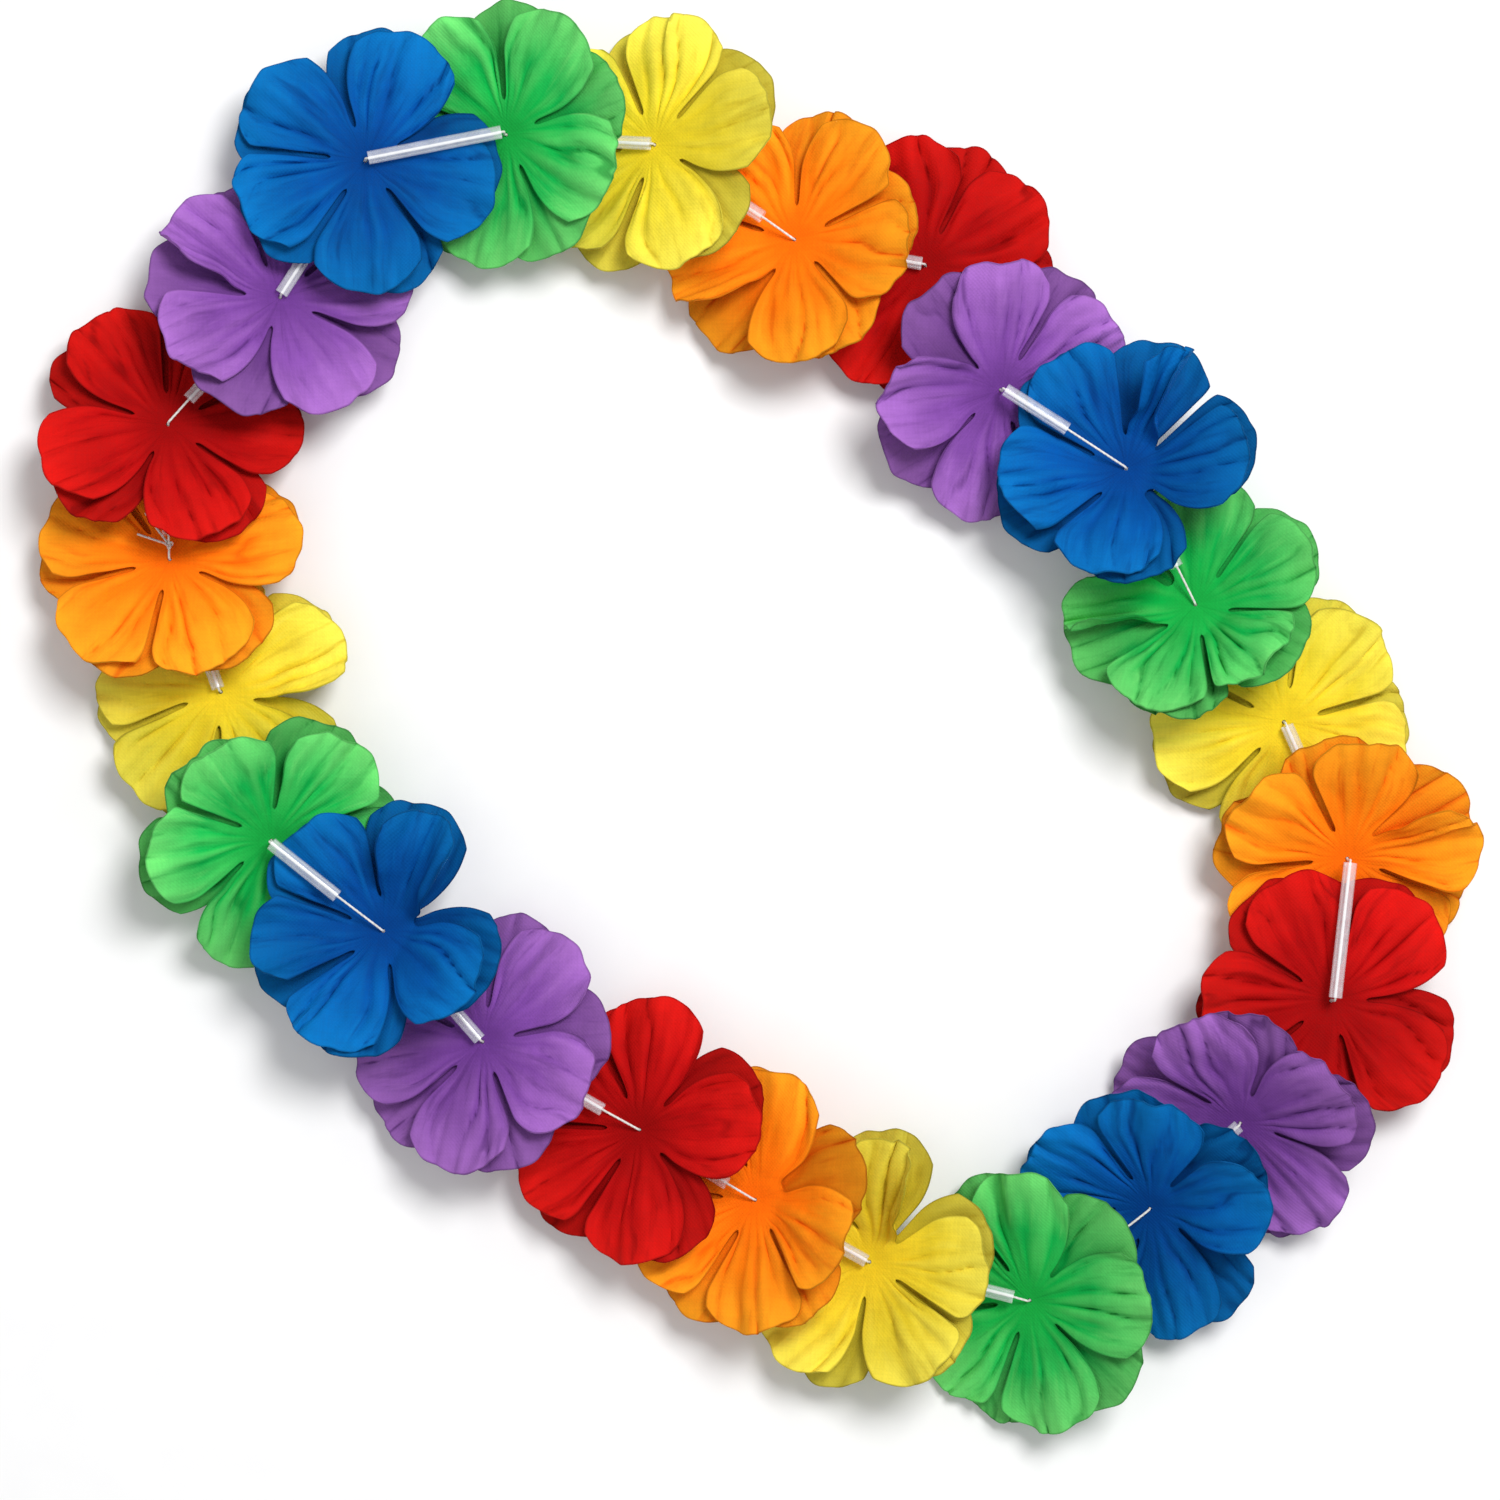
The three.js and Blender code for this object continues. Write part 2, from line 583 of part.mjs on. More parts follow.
// The thread: from its knot once round the lei and back to the knot, which has two short tails.
function threadGeometry() {
  const route = [];
  const sagged = (p) => p.clone().addScaledVector(up, -threadSag);
  const first = flowerNames.indexOf(knotted) + 1;
  const order = flowerNames.map((_, i) => flowerNames[(first + i) % flowerNames.length]);
  const knot = holeOf(knotted)
    .addScaledVector(laidStraws[knotted + order[0]][0].clone().sub(holeOf(knotted)).setZ(0)
      .normalize(), knotAhead).addScaledVector(up, knotHeight);
  route.push(knot.clone(), ...laidStraws[knotted + order[0]].map(sagged));
  for (const name of order) {
    const normal = new THREE.Vector3().setFromMatrixColumn(hubFrame(name), 2);
    const side = flowers[name].way === 'up' ? throughHole : -throughHole;
    route.push(holeOf(name).addScaledVector(normal, -side));
    route.push(holeOf(name).addScaledVector(normal, side));
    if (name !== knotted) route.push(...laidStraws[name + neighbour(name, 1)].map(sagged));
  }
  route.push(knot.clone());
  const tailRods = tails.map((end) => {
    const reach = new THREE.Vector3(...end);
    const halfway = reach.clone().multiply(new THREE.Vector3(...tailMiddle));
    return roundRod([knot, knot.clone().add(halfway), knot.clone().add(reach)], tailRadius);
  });
  const ball = new THREE.SphereGeometry(knotRadius, knotSides, knotSides - 2)
    .translate(knot.x, knot.y, knot.z);
  return fromManifold([roundRod(route, threadRadius), ball, ...tailRods]
    .map(toManifold).reduce((whole, piece) => whole.add(piece)));
}

const lei = new THREE.Group();
const addMesh = (name, geometry, material) => {
  const mesh = new THREE.Mesh(geometry, material);
  mesh.name = name;
  lei.add(mesh);
};
const twoDigits = (i) => String(i + 1).padStart(2, '0');

flowerNames.forEach((name, i) => {
  const colour = colourOrder[i % colourOrder.length];
  addMesh(`bloom_${twoDigits(i)}_${colour}`, flowerGeometry(laidFlowers[name]),
    new THREE.MeshStandardMaterial({ color: colours[colour], roughness: 0.85, metalness: 0 }));
});

flowerNames.forEach((name, i) => addMesh(
  `straw_${twoDigits(i)}`,
  strawGeometry(laidStraws[name + neighbour(name, 1)]),
  new THREE.MeshStandardMaterial({ color: 0xe4e8f0, roughness: 0.25, metalness: 0 })));

addMesh('thread', threadGeometry(),
  new THREE.MeshStandardMaterial({ color: 0xf4f4f0, roughness: 0.7, metalness: 0 }));

// The origin is the middle of the lei's outline, on the table.
const middle = new THREE.Box3().setFromObject(lei, true).getCenter(new THREE.Vector3());
for (const mesh of lei.children) mesh.geometry.translate(-middle.x, -middle.y, 0);
export default lei;
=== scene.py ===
# An artificial flower lei lying flat: 24 cloth flowers in six colours on a white thread, kept
# apart by clear plastic straws. Sizes are in millimetres until a mesh is made, then metres.
import math
import bpy
import numpy as np
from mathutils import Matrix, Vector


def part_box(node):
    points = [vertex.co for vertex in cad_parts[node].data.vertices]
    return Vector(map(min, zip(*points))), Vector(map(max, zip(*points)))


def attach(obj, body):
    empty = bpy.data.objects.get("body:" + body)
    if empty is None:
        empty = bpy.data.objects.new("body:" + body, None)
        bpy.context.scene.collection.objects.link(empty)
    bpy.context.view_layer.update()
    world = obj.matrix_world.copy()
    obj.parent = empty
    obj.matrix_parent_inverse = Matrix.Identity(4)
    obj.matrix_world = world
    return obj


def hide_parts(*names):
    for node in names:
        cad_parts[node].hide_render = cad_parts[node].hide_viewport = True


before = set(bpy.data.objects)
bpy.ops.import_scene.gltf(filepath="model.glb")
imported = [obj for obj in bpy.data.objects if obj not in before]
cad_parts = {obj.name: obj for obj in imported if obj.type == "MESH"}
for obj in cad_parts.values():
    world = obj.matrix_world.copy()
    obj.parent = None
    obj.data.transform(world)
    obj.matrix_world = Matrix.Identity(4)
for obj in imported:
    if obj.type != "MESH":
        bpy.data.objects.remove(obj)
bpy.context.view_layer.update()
bodyName = "root"
millimetre = 0.001
print("frame loaded:", len(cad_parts), "nodes")

# The six cloth colours, in their order round the lei: deep (painted shade in the creases, and the dye's dark
# blots), at the hub, over most of a petal, and light (the tips, the dye's pale streaks and a painted
# highlight on the ridges).
clothColours = {
    "blue": {"deep": (0.0002, 0.023, 0.130), "hub": (0.0004, 0.042, 0.225),
             "main": (0.0006, 0.074, 0.315), "light": (0.0020, 0.150, 0.440)},
    "green": {"deep": (0.0007, 0.195, 0.026), "hub": (0.0012, 0.360, 0.048),
              "main": (0.0050, 0.410, 0.070), "light": (0.150, 0.650, 0.155)},
    "yellow": {"deep": (0.480, 0.330, 0.009), "hub": (0.820, 0.600, 0.016),
               "main": (0.740, 0.575, 0.024), "light": (0.840, 0.720, 0.075)},
    "orange": {"deep": (0.760, 0.085, 0.001), "hub": (1.000, 0.150, 0.002),
               "main": (1.000, 0.215, 0.004), "light": (1.000, 0.360, 0.014)},
    "red": {"deep": (0.170, 0.0010, 0.0011), "hub": (0.290, 0.0016, 0.0020),
            "main": (0.405, 0.0025, 0.0032), "light": (0.620, 0.0080, 0.0055)},
    "purple": {"deep": (0.078, 0.021, 0.140), "hub": (0.140, 0.038, 0.255),
               "main": (0.200, 0.064, 0.330), "light": (0.340, 0.135, 0.480)},
}
colourOrder = list(clothColours)

# Each flower, clockwise from the top left: its hole, the thread's way through it, its tilt, how
# far the under layer is turned, and for each petal its compass direction, rise and fold.
flowers = {
    "A": {"hole": (-107.6, 164.9, 20.5), "way": "up", "tilt": 4, "turn": 0.35,
          "petals": [(68, -2), (147, 2), (203, 6), (272, 0), (342, -4)]},
    "B": {"hole": (-68.3, 172.8, 16), "way": "down", "tilt": 26, "turn": 1,
          "petals": [(58, 6), (125, 0), (195, -4), (260, 4), (334, 4)]},
    "C": {"hole": (-26.7, 169.9, 16), "way": "down", "tilt": 26, "turn": 0.5,
          "petals": [(12, 6), (78, 0), (145, -4), (222, -4), (284, 4)]},
    "D": {"hole": (12.6, 143.3, 16), "way": "down", "tilt": 26, "turn": 0.6,
          "petals": [(50, 10), (122, 4), (200, 0, 30), (276, 10), (348, 10)]},
    "E": {"hole": (49.4, 136.4, 13), "way": "down", "tilt": 8, "turn": 1,
          "petals": [(30, -10), (100, -10), (170, -16), (232, -8), (302, -10)]},
    "F": {"hole": (70.2, 101.1, 17.5), "way": "up", "tilt": 26, "turn": 0.8,
          "petals": [(326, -2), (30, 6), (92, 4), (185, 4, 25), (257, 0)]},
    "G": {"hole": (105.3, 78.7, 20.5), "way": "down", "tilt": 18, "turn": 0.3,
          "petals": [(2, 28), (60, 18, 70), (120, 14), (192, 14), (260, 30)]},
    "H": {"hole": (125.0, 40.7, 17.5), "way": "down", "tilt": 24, "turn": 0.35,
          "petals": [(20, 26), (82, 12), (190, 8, 60), (246, 22), (314, 36)]},
    "I": {"hole": (150.3, 7.9, 13), "way": "up", "tilt": 8, "turn": 0.4,
          "petals": [(46, -10), (118, -10), (190, -10), (265, -14), (342, -14)]},
    "J": {"hole": (167.7, -30.3, 16), "way": "up", "tilt": 26, "turn": 0.6,
          "petals": [(12, 4, 30), (83, 4), (152, 4), (216, 0), (312, 0)]},
    "K": {"hole": (162.9, -70.2, 18.5), "way": "down", "tilt": 2, "turn": 0.35,
          "petals": [(44, -2), (112, -2), (182, -4), (250, -4), (318, -4)]},
    "L": {"hole": (137.6, -104.5, 17.5), "way": "up", "tilt": 30, "turn": -0.6,
          "petals": [(26, 4), (112, 4), (178, 4), (243, 0), (312, 0)]},
    "M": {"hole": (112.4, -128.7, 16), "way": "up", "tilt": 26, "turn": 0.5,
          "petals": [(12, 12, 20), (88, 20), (150, 18), (216, 4), (286, 4)]},
    "N": {"hole": (78.7, -154.5, 16), "way": "up", "tilt": 28, "turn": 0.9,
          "petals": [(2, 4), (92, 10), (160, 0), (222, 0), (282, 0)]},
    "O": {"hole": (33.7, -143.8, 16), "way": "up", "tilt": 28, "turn": 0.35,
          "petals": [(358, 6), (70, 22, 45), (150, 0), (229, 0), (300, 4)]},
    "P": {"hole": (1.6, -126.4, 16), "way": "up", "tilt": 28, "turn": 0.8,
          "petals": [(330, 6), (72, 14), (140, 4), (212, 4), (272, 4)]},
    "Q": {"hole": (-30.9, -106.7, 16), "way": "up", "tilt": 26, "turn": 0.4,
          "petals": [(4, 4), (80, 4), (148, 0), (208, 0), (268, 0)]},
    "R": {"hole": (-75.0, -82.0, 16), "way": "up", "tilt": 26, "turn": 0.8,
          "petals": [(47, 0), (118, 0), (190, 0), (258, 0), (332, 4)]},
    "S": {"hole": (-102.5, -50.6, 21), "way": "up", "tilt": 14, "turn": 0.3,
          "petals": [(325, 30), (60, 22, 45), (130, 8), (190, 8, 20), (242, 20)]},
    "T": {"hole": (-134.3, -25.3, 17.5), "way": "down", "tilt": 24, "turn": 0.35,
          "petals": [(352, 0), (50, 6, 15), (120, 22), (182, 24), (250, 6, 20)]},
    "U": {"hole": (-148.9, 16.3, 13.5), "way": "up", "tilt": 10, "turn": 0.35,
          "petals": [(26, -8, 30), (98, -14), (168, -14), (232, -10, 20), (306, -10)]},
    "V": {"hole": (-162.9, 53.4, 16), "way": "up", "tilt": 24, "turn": 0.35,
          "petals": [(12, 0), (92, -4), (164, 0), (228, 4), (296, 4)]},
    "W": {"hole": (-163.5, 91.3, 16), "way": "up", "tilt": 26, "turn": 0.35,
          "petals": [(357, 0), (62, -4), (128, 0), (202, 0), (292, 4)]},
    "X": {"hole": (-132.0, 127.0, 16), "way": "up", "tilt": 26, "turn": 0.8,
          "petals": [(10, 0), (80, -4), (148, 4, 35), (210, 4), (300, 4)]},
}
flowerNames = list(flowers)

# Flowers and straws in the order they are laid down, as in the solid model.
layingOrder = (
    "EF E DE D F HI I IJ H J TU U UV T V CD C BC B VW W WX X XA A AB GH G FG "
    "KL K JK L LM M MN N NO O OP P PQ Q QR R RS S ST").split()
restingPetals = {"E": 1, "I": 3, "N": 2, "T": 4, "U": 1}  # under petals whose tips lie on the table

# One petal as it is cut and pressed: lengths in millimetres, angles in degrees.
petalCut = {
    "reach": 38.0, "halfWidth": 15.6, "widestAt": 19.0, "slitReach": 10.0, "slitGap": 1.3,
    "spread": 44.0, "rimRound": 0.10, "rimCorner": 0.16, "rimWave": 0.7, "rimWaves": 6.0,
    "phaseStep": 1.7, "pleat": 0.6, "ruffle": 0.7, "droop": 0.35, "foldedFrom": 0.35,
    "layerSpacing": 1.4, "underDrop": 4.0, "solidCloth": 0.8,
}
# How petals are laid on each other, with the height map that they are laid on.
laying = {
    "restGap": 0.8, "tableGap": 0.1, "liftStep": 2, "maxRise": 78, "freeFoot": 0.45,
    "restingDroop": 16, "restingSink": 4.2, "cell": 1.5, "half": 230.0,
}
# Straws run from flower to flower. "start" says how far from each hole they end, and "raised" how
# much higher than usual.
strawSize = {"radius": 1.9, "start": 3.2, "clear": 3.4, "laySteps": 40, "layStrips": 4}
strawLay = {
    "AB": {"raised": (1, 5)}, "CD": {"start": (3.2, 11)}, "EF": {"raised": (0, -5.5)},
    "FG": {"raised": (5.5, 3.4), "start": (3.2, 20)}, "GH": {"start": (3.2, 12)},
    "HI": {"raised": (-5.5, 0)}, "JK": {"raised": (5.6, 4.4)}, "KL": {"raised": (0, -5)},
    "MN": {"start": (12, 3.2)}, "NO": {"start": (5, 3.2)}, "PQ": {"start": (9.4, 3.2)},
    "QR": {"start": (12, 3.2)}, "ST": {"raised": (3.5, 5.8), "start": (16, 3.2)},
    "TU": {"raised": (-5, 0)}, "VW": {"start": (7, 3.2)}, "WX": {"start": (9.4, 3.2)},
}

upwards = np.array((0.0, 0.0, 1.0))
straight = 1e-5  # a curl below this is none
# The solid model's facets: where its rows stand outwards, where its columns stand across, and the
# points tried on each facet.
petalRows = {"upper": (0, 0.3, 0.65, 1), "under": (0, 0.5, 1), "resting": (0, 0.5, 0.8, 1)}
acrossSteps = np.array((-1, -0.5, 0, 0.5, 1))
facetSteps = np.arange(6) / 5
gridWidth = math.ceil(2 * laying["half"] / laying["cell"])
laidHeights = np.zeros(gridWidth * gridWidth, np.float32)


def unit(vector):
    return vector / np.linalg.norm(vector)


def neighbour(name, step):
    return flowerNames[(flowerNames.index(name) + step) % len(flowerNames)]


def holeOf(name):
    return np.array(flowers[name]["hole"], float)


def gridCells(points):
    column, row = (np.floor((points[..., k] + laying["half"]) / laying["cell"]).astype(int) for k in (0, 1))
    return row * gridWidth + column


def layHeights(points, heights):
    np.maximum.at(laidHeights, gridCells(points).ravel(), heights.ravel().astype(np.float32))


def hubAxes(name):  # the hub's axes as columns, x, y and the cloth's normal, and its hole
    flower = flowers[name]
    ahead = holeOf(neighbour(name, 1)) - holeOf(neighbour(name, -1))
    ahead[2] = 0
    uphill = unit(ahead) if flower["way"] == "down" else -unit(ahead)
    tilt = math.radians(flower["tilt"])
    normal = uphill * -math.sin(tilt)
    normal[2] = math.cos(tilt)
    x = unit(np.array((1, 0, -normal[0] / normal[2])))
    return {"turn": np.column_stack((x, np.cross(normal, x), normal)), "hole": holeOf(name)}


def toWorld(hub, points):
    return points @ hub["turn"].T + hub["hole"]


def angleInHub(hub, degrees):
    x, y, normal = hub["turn"].T
    flat = np.array((math.cos(math.radians(degrees)), math.sin(math.radians(degrees)), 0))
    flat[2] = -(flat[0] * normal[0] + flat[1] * normal[1]) / normal[2]
    return math.atan2(flat @ y, flat @ x)


def turnBetween(start, end):
    return (end - start) % (2 * math.pi)


def setRise(petal, degrees):
    petal["rise"] = degrees
    petal["curl"] = -petalCut["droop"] * degrees


def makeLayer(directions, rises, folds, middle, ruffling, rows):
    petals = []
    for i, direction in enumerate(directions):
        petal = {
            "direction": direction, "middle": middle, "rows": rows, "ruffle": ruffling,
            "fold": math.radians(folds[i]), "phase": petalCut["phaseStep"] * i,
            "toLeft": turnBetween(direction, directions[(i + 1) % 5]) / 2,
            "toRight": turnBetween(directions[i - 1], direction) / 2,
        }
        setRise(petal, rises[i])
        petals.append(petal)
    return petals


def petalPoints(petal, out, across):  # points of the cloth's middle, in the hub's axes
    cut, slit = petalCut, petalCut["slitReach"]
    side = np.abs(across)
    half = np.where(across < 0, petal["toRight"], petal["toLeft"])
    middleAlong = slit * (math.cos(petal["toLeft"]) + math.cos(petal["toRight"])) / 2
    baseAlong = middleAlong + side * (slit * np.cos(half) - middleAlong)
    baseAcross = slit * np.sin(half)
    rim = cut["reach"] * (1 - cut["rimRound"] * side ** 2 - cut["rimCorner"] * side ** 4)
    rim = rim + cut["rimWave"] * np.cos(cut["rimWaves"] * across + petal["phase"]) * (1 - side ** 4)
    length = out * (rim - baseAlong)
    rise = math.radians(petal["rise"])
    curl = math.radians(petal["curl"]) / cut["reach"]
    bend = rise + curl * length
    if abs(curl) < straight:
        along, lift = baseAlong + length * math.cos(rise), length * math.sin(rise)
    else:
        along = baseAlong + (np.sin(bend) - math.sin(rise)) / curl
        lift = (math.cos(rise) - np.cos(bend)) / curl
    swell = np.sin(math.pi / 2 * np.minimum(1, length / cut["widestAt"]))
    free = baseAcross + (cut["halfWidth"] - baseAcross) * swell
    room = along * np.tan(np.minimum(half, math.radians(cut["spread"]))) - cut["slitGap"] / 2
    width = np.where(out == 0, baseAcross, np.minimum(free, room))
    wave = cut["pleat"] * out * np.cos(2 * math.pi * across)
    wave = wave + petal["ruffle"] * out ** 2 * np.sin(1.5 * math.pi * across + petal["phase"])
    fold = petal["fold"] * np.minimum(1, out / cut["foldedFrom"])
    outwards = np.array((math.cos(petal["direction"]), math.sin(petal["direction"]), 0))
    sideways = np.array((-outwards[1], outwards[0], 0))
    square = -np.sin(bend)[:, None] * outwards + np.cos(bend)[:, None] * upwards
    normal = np.cos(fold)[:, None] * square - (np.sign(across) * np.sin(fold))[:, None] * sideways
    normal /= np.linalg.norm(normal, axis=1)[:, None]
    normal = np.where((out == 0)[:, None], upwards, normal)
    return (upwards * (petal["middle"] + lift)[:, None] + outwards * along[:, None]
            + sideways * (across * width * np.cos(fold))[:, None]
            + square * (side * width * np.sin(fold))[:, None] + normal * wave[:, None])


def facetPoints(petal, hub):  # points all over the facets that the solid model gives this petal
    rows = np.array(petal["rows"], float)
    out, across = np.meshgrid(rows, acrossSteps, indexing="ij")
    corners = toWorld(hub, petalPoints(petal, out.ravel(), across.ravel())).reshape(*out.shape, 3)
    sides = corners[:, :-1, None] + (corners[:, 1:] - corners[:, :-1])[:, :, None] * facetSteps[:, None]
    points = sides[:-1, :, :, None] + (sides[1:] - sides[:-1])[:, :, :, None] * facetSteps[:, None]
    outs = np.ones(points.shape[:-1])
    outs[0] = facetSteps
    return points, outs


def layPetal(petal, hub):  # raises a petal until it lies clear on what is under it
    onTable = -laying["restingSink"] if petal["rows"] is petalRows["resting"] else laying["tableGap"]
    while petal["rise"] < laying["maxRise"]:
        points, outs = facetPoints(petal, hub)
        floor = laidHeights[gridCells(points)].astype(float)
        gap = np.where(floor > 0, laying["restGap"], onTable)
        low = points[..., 2] - petalCut["solidCloth"] / 2 < floor + gap
        if not np.any(low & (outs > laying["freeFoot"])):
            break
        setRise(petal, petal["rise"] + laying["liftStep"])


def layFlower(name):
    hub, flower = hubAxes(name), flowers[name]
    petals, turn = flower["petals"], flower["turn"]
    wished = [petal[1] for petal in petals]
    folds = [petal[2] if len(petal) > 2 else 0 for petal in petals]
    half = petalCut["layerSpacing"] / 2
    upper = makeLayer([angleInHub(hub, petal[0]) for petal in petals], wished, folds,
                      half, petalCut["ruffle"], petalRows["upper"])
    turned = [petal["direction"] + turn * petal["toRight" if turn < 0 else "toLeft"] for petal in upper]
    lower = [min(wished[i], wished[(i + 1) % 5]) - petalCut["underDrop"] for i in range(5)]
    under = makeLayer(turned, lower, [0] * 5, -half, 0, petalRows["under"])
    if name in restingPetals:
        resting = under[restingPetals[name]]
        resting["rows"] = petalRows["resting"]
        setRise(resting, resting["rise"] - laying["restingDroop"])
    for petal in under:
        layPetal(petal, hub)
    for i, petal in enumerate(upper):
        below = [under[i], under[(i + 5 - int(np.sign(turn))) % 5]]
        setRise(petal, max([petal["rise"]] + [other["rise"] + petalCut["underDrop"] for other in below]))
        layPetal(petal, hub)
    for petal in under + upper:
        points, _ = facetPoints(petal, hub)
        layHeights(points, points[..., 2] + petalCut["solidCloth"] / 2)
    return {"hub": hub, "upper": upper, "under": under}


def strawEnds(name):
    following = neighbour(name, 1)
    ahead = unit(holeOf(following) - holeOf(name))
    lay = strawLay.get(name + following, {})
    raised, start = lay.get("raised", (0, 0)), lay.get("start", (strawSize["start"],) * 2)
    ends = []
    for end, flower, direction, above in (
            (0, name, ahead, 1 if flowers[name]["way"] == "up" else -1),
            (1, following, -ahead, -1 if flowers[following]["way"] == "up" else 1)):
        normal = hubAxes(flower)["turn"][:, 2]
        height = (strawSize["clear"] - strawSize["start"] * abs(normal @ direction)) / normal[2]
        ends.append(holeOf(flower) + direction * start[end] + upwards * (above * height + raised[end]))
    return ends


def layStraw(ends):
    start, ahead = ends[0], ends[1] - ends[0]
    aside = unit(np.cross(ahead, upwards))
    steps, strips = strawSize["laySteps"], strawSize["layStrips"]
    along, across = np.meshgrid(np.arange(steps + 1) / steps, np.arange(-strips, strips + 1) / strips,
                                indexing="ij")
    points = start + ahead * along[..., None] + aside * (strawSize["radius"] * across)[..., None]
    layHeights(points, points[..., 2] + strawSize["radius"] * np.sqrt(1 - across ** 2))


laidFlowers, laidStraws = {}, {}
for item in layingOrder:
    if len(item) == 1:
        laidFlowers[item] = layFlower(item)
    else:
        laidStraws[item] = strawEnds(item[0])
        layStraw(laidStraws[item])

# The solid model's origin is the middle of its outline. Its first straw says how far that is away.
low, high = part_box("straw_01")
shift = np.array((low + high) / 2) / millimetre - sum(laidStraws["AB"]) / 2
shift[2] = 0
print("laid out:", len(laidFlowers), "flowers,", len(laidStraws), "straws, moved by", np.round(shift, 3))


# Node building. A node is made from its type, its settings and what goes into its sockets.
weldDistance = 1e-6
noiseMiddle = (0.3, 0.7)  # where most of a noise's values lie


def fillSockets(tree, node, values):
    for key, value in values.items():
        socket = node.inputs[key]
        if isinstance(value, bpy.types.NodeSocket):
            tree.links.new(value, socket)
        else:
            socket.default_value = value


def addNode(tree, kind, inputs=None, **settings):
    node = tree.nodes.new(kind)
    for key, value in settings.items():
        setattr(node, key, value)
    fillSockets(tree, node, inputs or {})
    return node


def calc(tree, operation, *values):  # one Math node
    node = addNode(tree, "ShaderNodeMath", dict(enumerate(values)), operation=operation)
    return node.outputs[0]


def times(tree, product, *factors):
    for factor in factors:
        product = calc(tree, "MULTIPLY", product, factor)
    return product


def plus(tree, total, *parts):
    for part in parts:
        total = calc(tree, "ADD", total, part)
    return total


def scaled(tree, vector, factor):
    node = addNode(tree, "ShaderNodeVectorMath", {0: vector, "Scale": factor}, operation="SCALE")
    return node.outputs[0]


def arches(tree, angle):  # a row of round humps from 0 to 1
    return calc(tree, "ABSOLUTE", calc(tree, "SINE", angle))


def angleRound(tree, vector):  # where a point is on a tube's ring
    split = addNode(tree, "ShaderNodeSeparateXYZ", {0: vector})
    return calc(tree, "ARCTAN2", split.outputs[1], split.outputs[0])


def spread(tree, value, low, high, toLow=0.0, toHigh=1.0):
    node = addNode(tree, "ShaderNodeMapRange",
                   {"Value": value, "From Min": low, "From Max": high, "To Min": toLow, "To Max": toHigh},
                   interpolation_type="SMOOTHSTEP")
    return node.outputs["Result"]


def newGeometryTree(name, sizes):  # sizes: name, socket type and value of each input
    tree = bpy.data.node_groups.new(name, "GeometryNodeTree")
    tree.interface.new_socket("Geometry", in_out="INPUT", socket_type="NodeSocketGeometry")
    tree.interface.new_socket("Geometry", in_out="OUTPUT", socket_type="NodeSocketGeometry")
    for title, kind, value in sizes:
        socket = tree.interface.new_socket(title, in_out="INPUT", socket_type="NodeSocket" + kind)
        if value is not None:
            socket.default_value = value
    return tree, tree.nodes.new("NodeGroupInput").outputs, tree.nodes.new("NodeGroupOutput")


def readAttribute(tree, name):
    node = addNode(tree, "GeometryNodeInputNamedAttribute", {"Name": name}, data_type="FLOAT")
    return node.outputs["Attribute"]


def keepAttribute(tree, geometry, name, value, kind="FLOAT"):
    node = addNode(tree, "GeometryNodeStoreNamedAttribute",
                   {"Geometry": geometry, "Name": name, "Value": value}, data_type=kind, domain="POINT")
    return node.outputs[0]


def pointInput(tree, kind):  # every point's Position or Normal
    return tree.nodes.new("GeometryNodeInput" + kind).outputs[0]


def movePoints(tree, geometry, **move):  # to a Position or by an Offset
    return addNode(tree, "GeometryNodeSetPosition", {"Geometry": geometry, **move}).outputs[0]


def thicken(tree, geometry, thickness):  # gives an open sheet its thickness, on both sides alike
    back = scaled(tree, pointInput(tree, "Normal"), times(tree, thickness, -0.5))
    sheet = movePoints(tree, geometry, Offset=back)
    front = addNode(tree, "GeometryNodeExtrudeMesh",
                    {"Mesh": sheet, "Offset Scale": thickness, "Individual": False}, mode="FACES")
    flipped = addNode(tree, "GeometryNodeFlipFaces", {"Mesh": sheet})
    joined = tree.nodes.new("GeometryNodeJoinGeometry")
    for part in (flipped, front):
        tree.links.new(part.outputs[0], joined.inputs[0])
    merged = addNode(tree, "GeometryNodeMergeByDistance",
                     {"Geometry": joined.outputs[0], "Distance": weldDistance})
    return merged.outputs[0]


def finishTree(tree, geometry, output, material, sharpAngle):
    smooth = addNode(tree, "GeometryNodeSetShadeSmooth", {"Geometry": geometry}, domain="FACE")
    angle = tree.nodes.new("GeometryNodeInputMeshEdgeAngle")
    corner = calc(tree, "GREATER_THAN", angle.outputs["Unsigned Angle"], math.radians(sharpAngle))
    edges = addNode(tree, "GeometryNodeSetShadeSmooth", {
        "Geometry": smooth.outputs[0], "Selection": corner, "Shade Smooth": False}, domain="EDGE")
    real = addNode(tree, "GeometryNodeRealizeInstances", {"Geometry": edges.outputs[0]})
    painted = addNode(tree, "GeometryNodeSetMaterial", {"Geometry": real.outputs[0], "Material": material})
    tree.links.new(painted.outputs[0], output.inputs[0])


def meshFromTree(name, mesh, tree, values, material):  # runs a tree on a mesh and keeps the result
    source = bpy.data.objects.new(name + "_source", mesh)
    bpy.context.scene.collection.objects.link(source)
    modifier = source.modifiers.new("shape", "NODES")
    modifier.node_group = tree
    for title, value in {**values, "Material": material}.items():
        modifier[tree.interface.items_tree[title].identifier] = value
    bpy.context.view_layer.update()
    graph = bpy.context.evaluated_depsgraph_get()
    finished = bpy.data.meshes.new_from_object(source.evaluated_get(graph), depsgraph=graph)
    finished.name = name
    source.modifiers.clear()
    bpy.data.objects.remove(source)
    bpy.data.meshes.remove(mesh)
    piece = bpy.data.objects.new(name, finished)
    bpy.context.scene.collection.objects.link(piece)
    return piece


# Material building.
def newMaterial(name):
    material = bpy.data.materials.new(name)
    material.use_nodes = True
    tree = material.node_tree
    return material, tree, tree.nodes["Principled BSDF"]


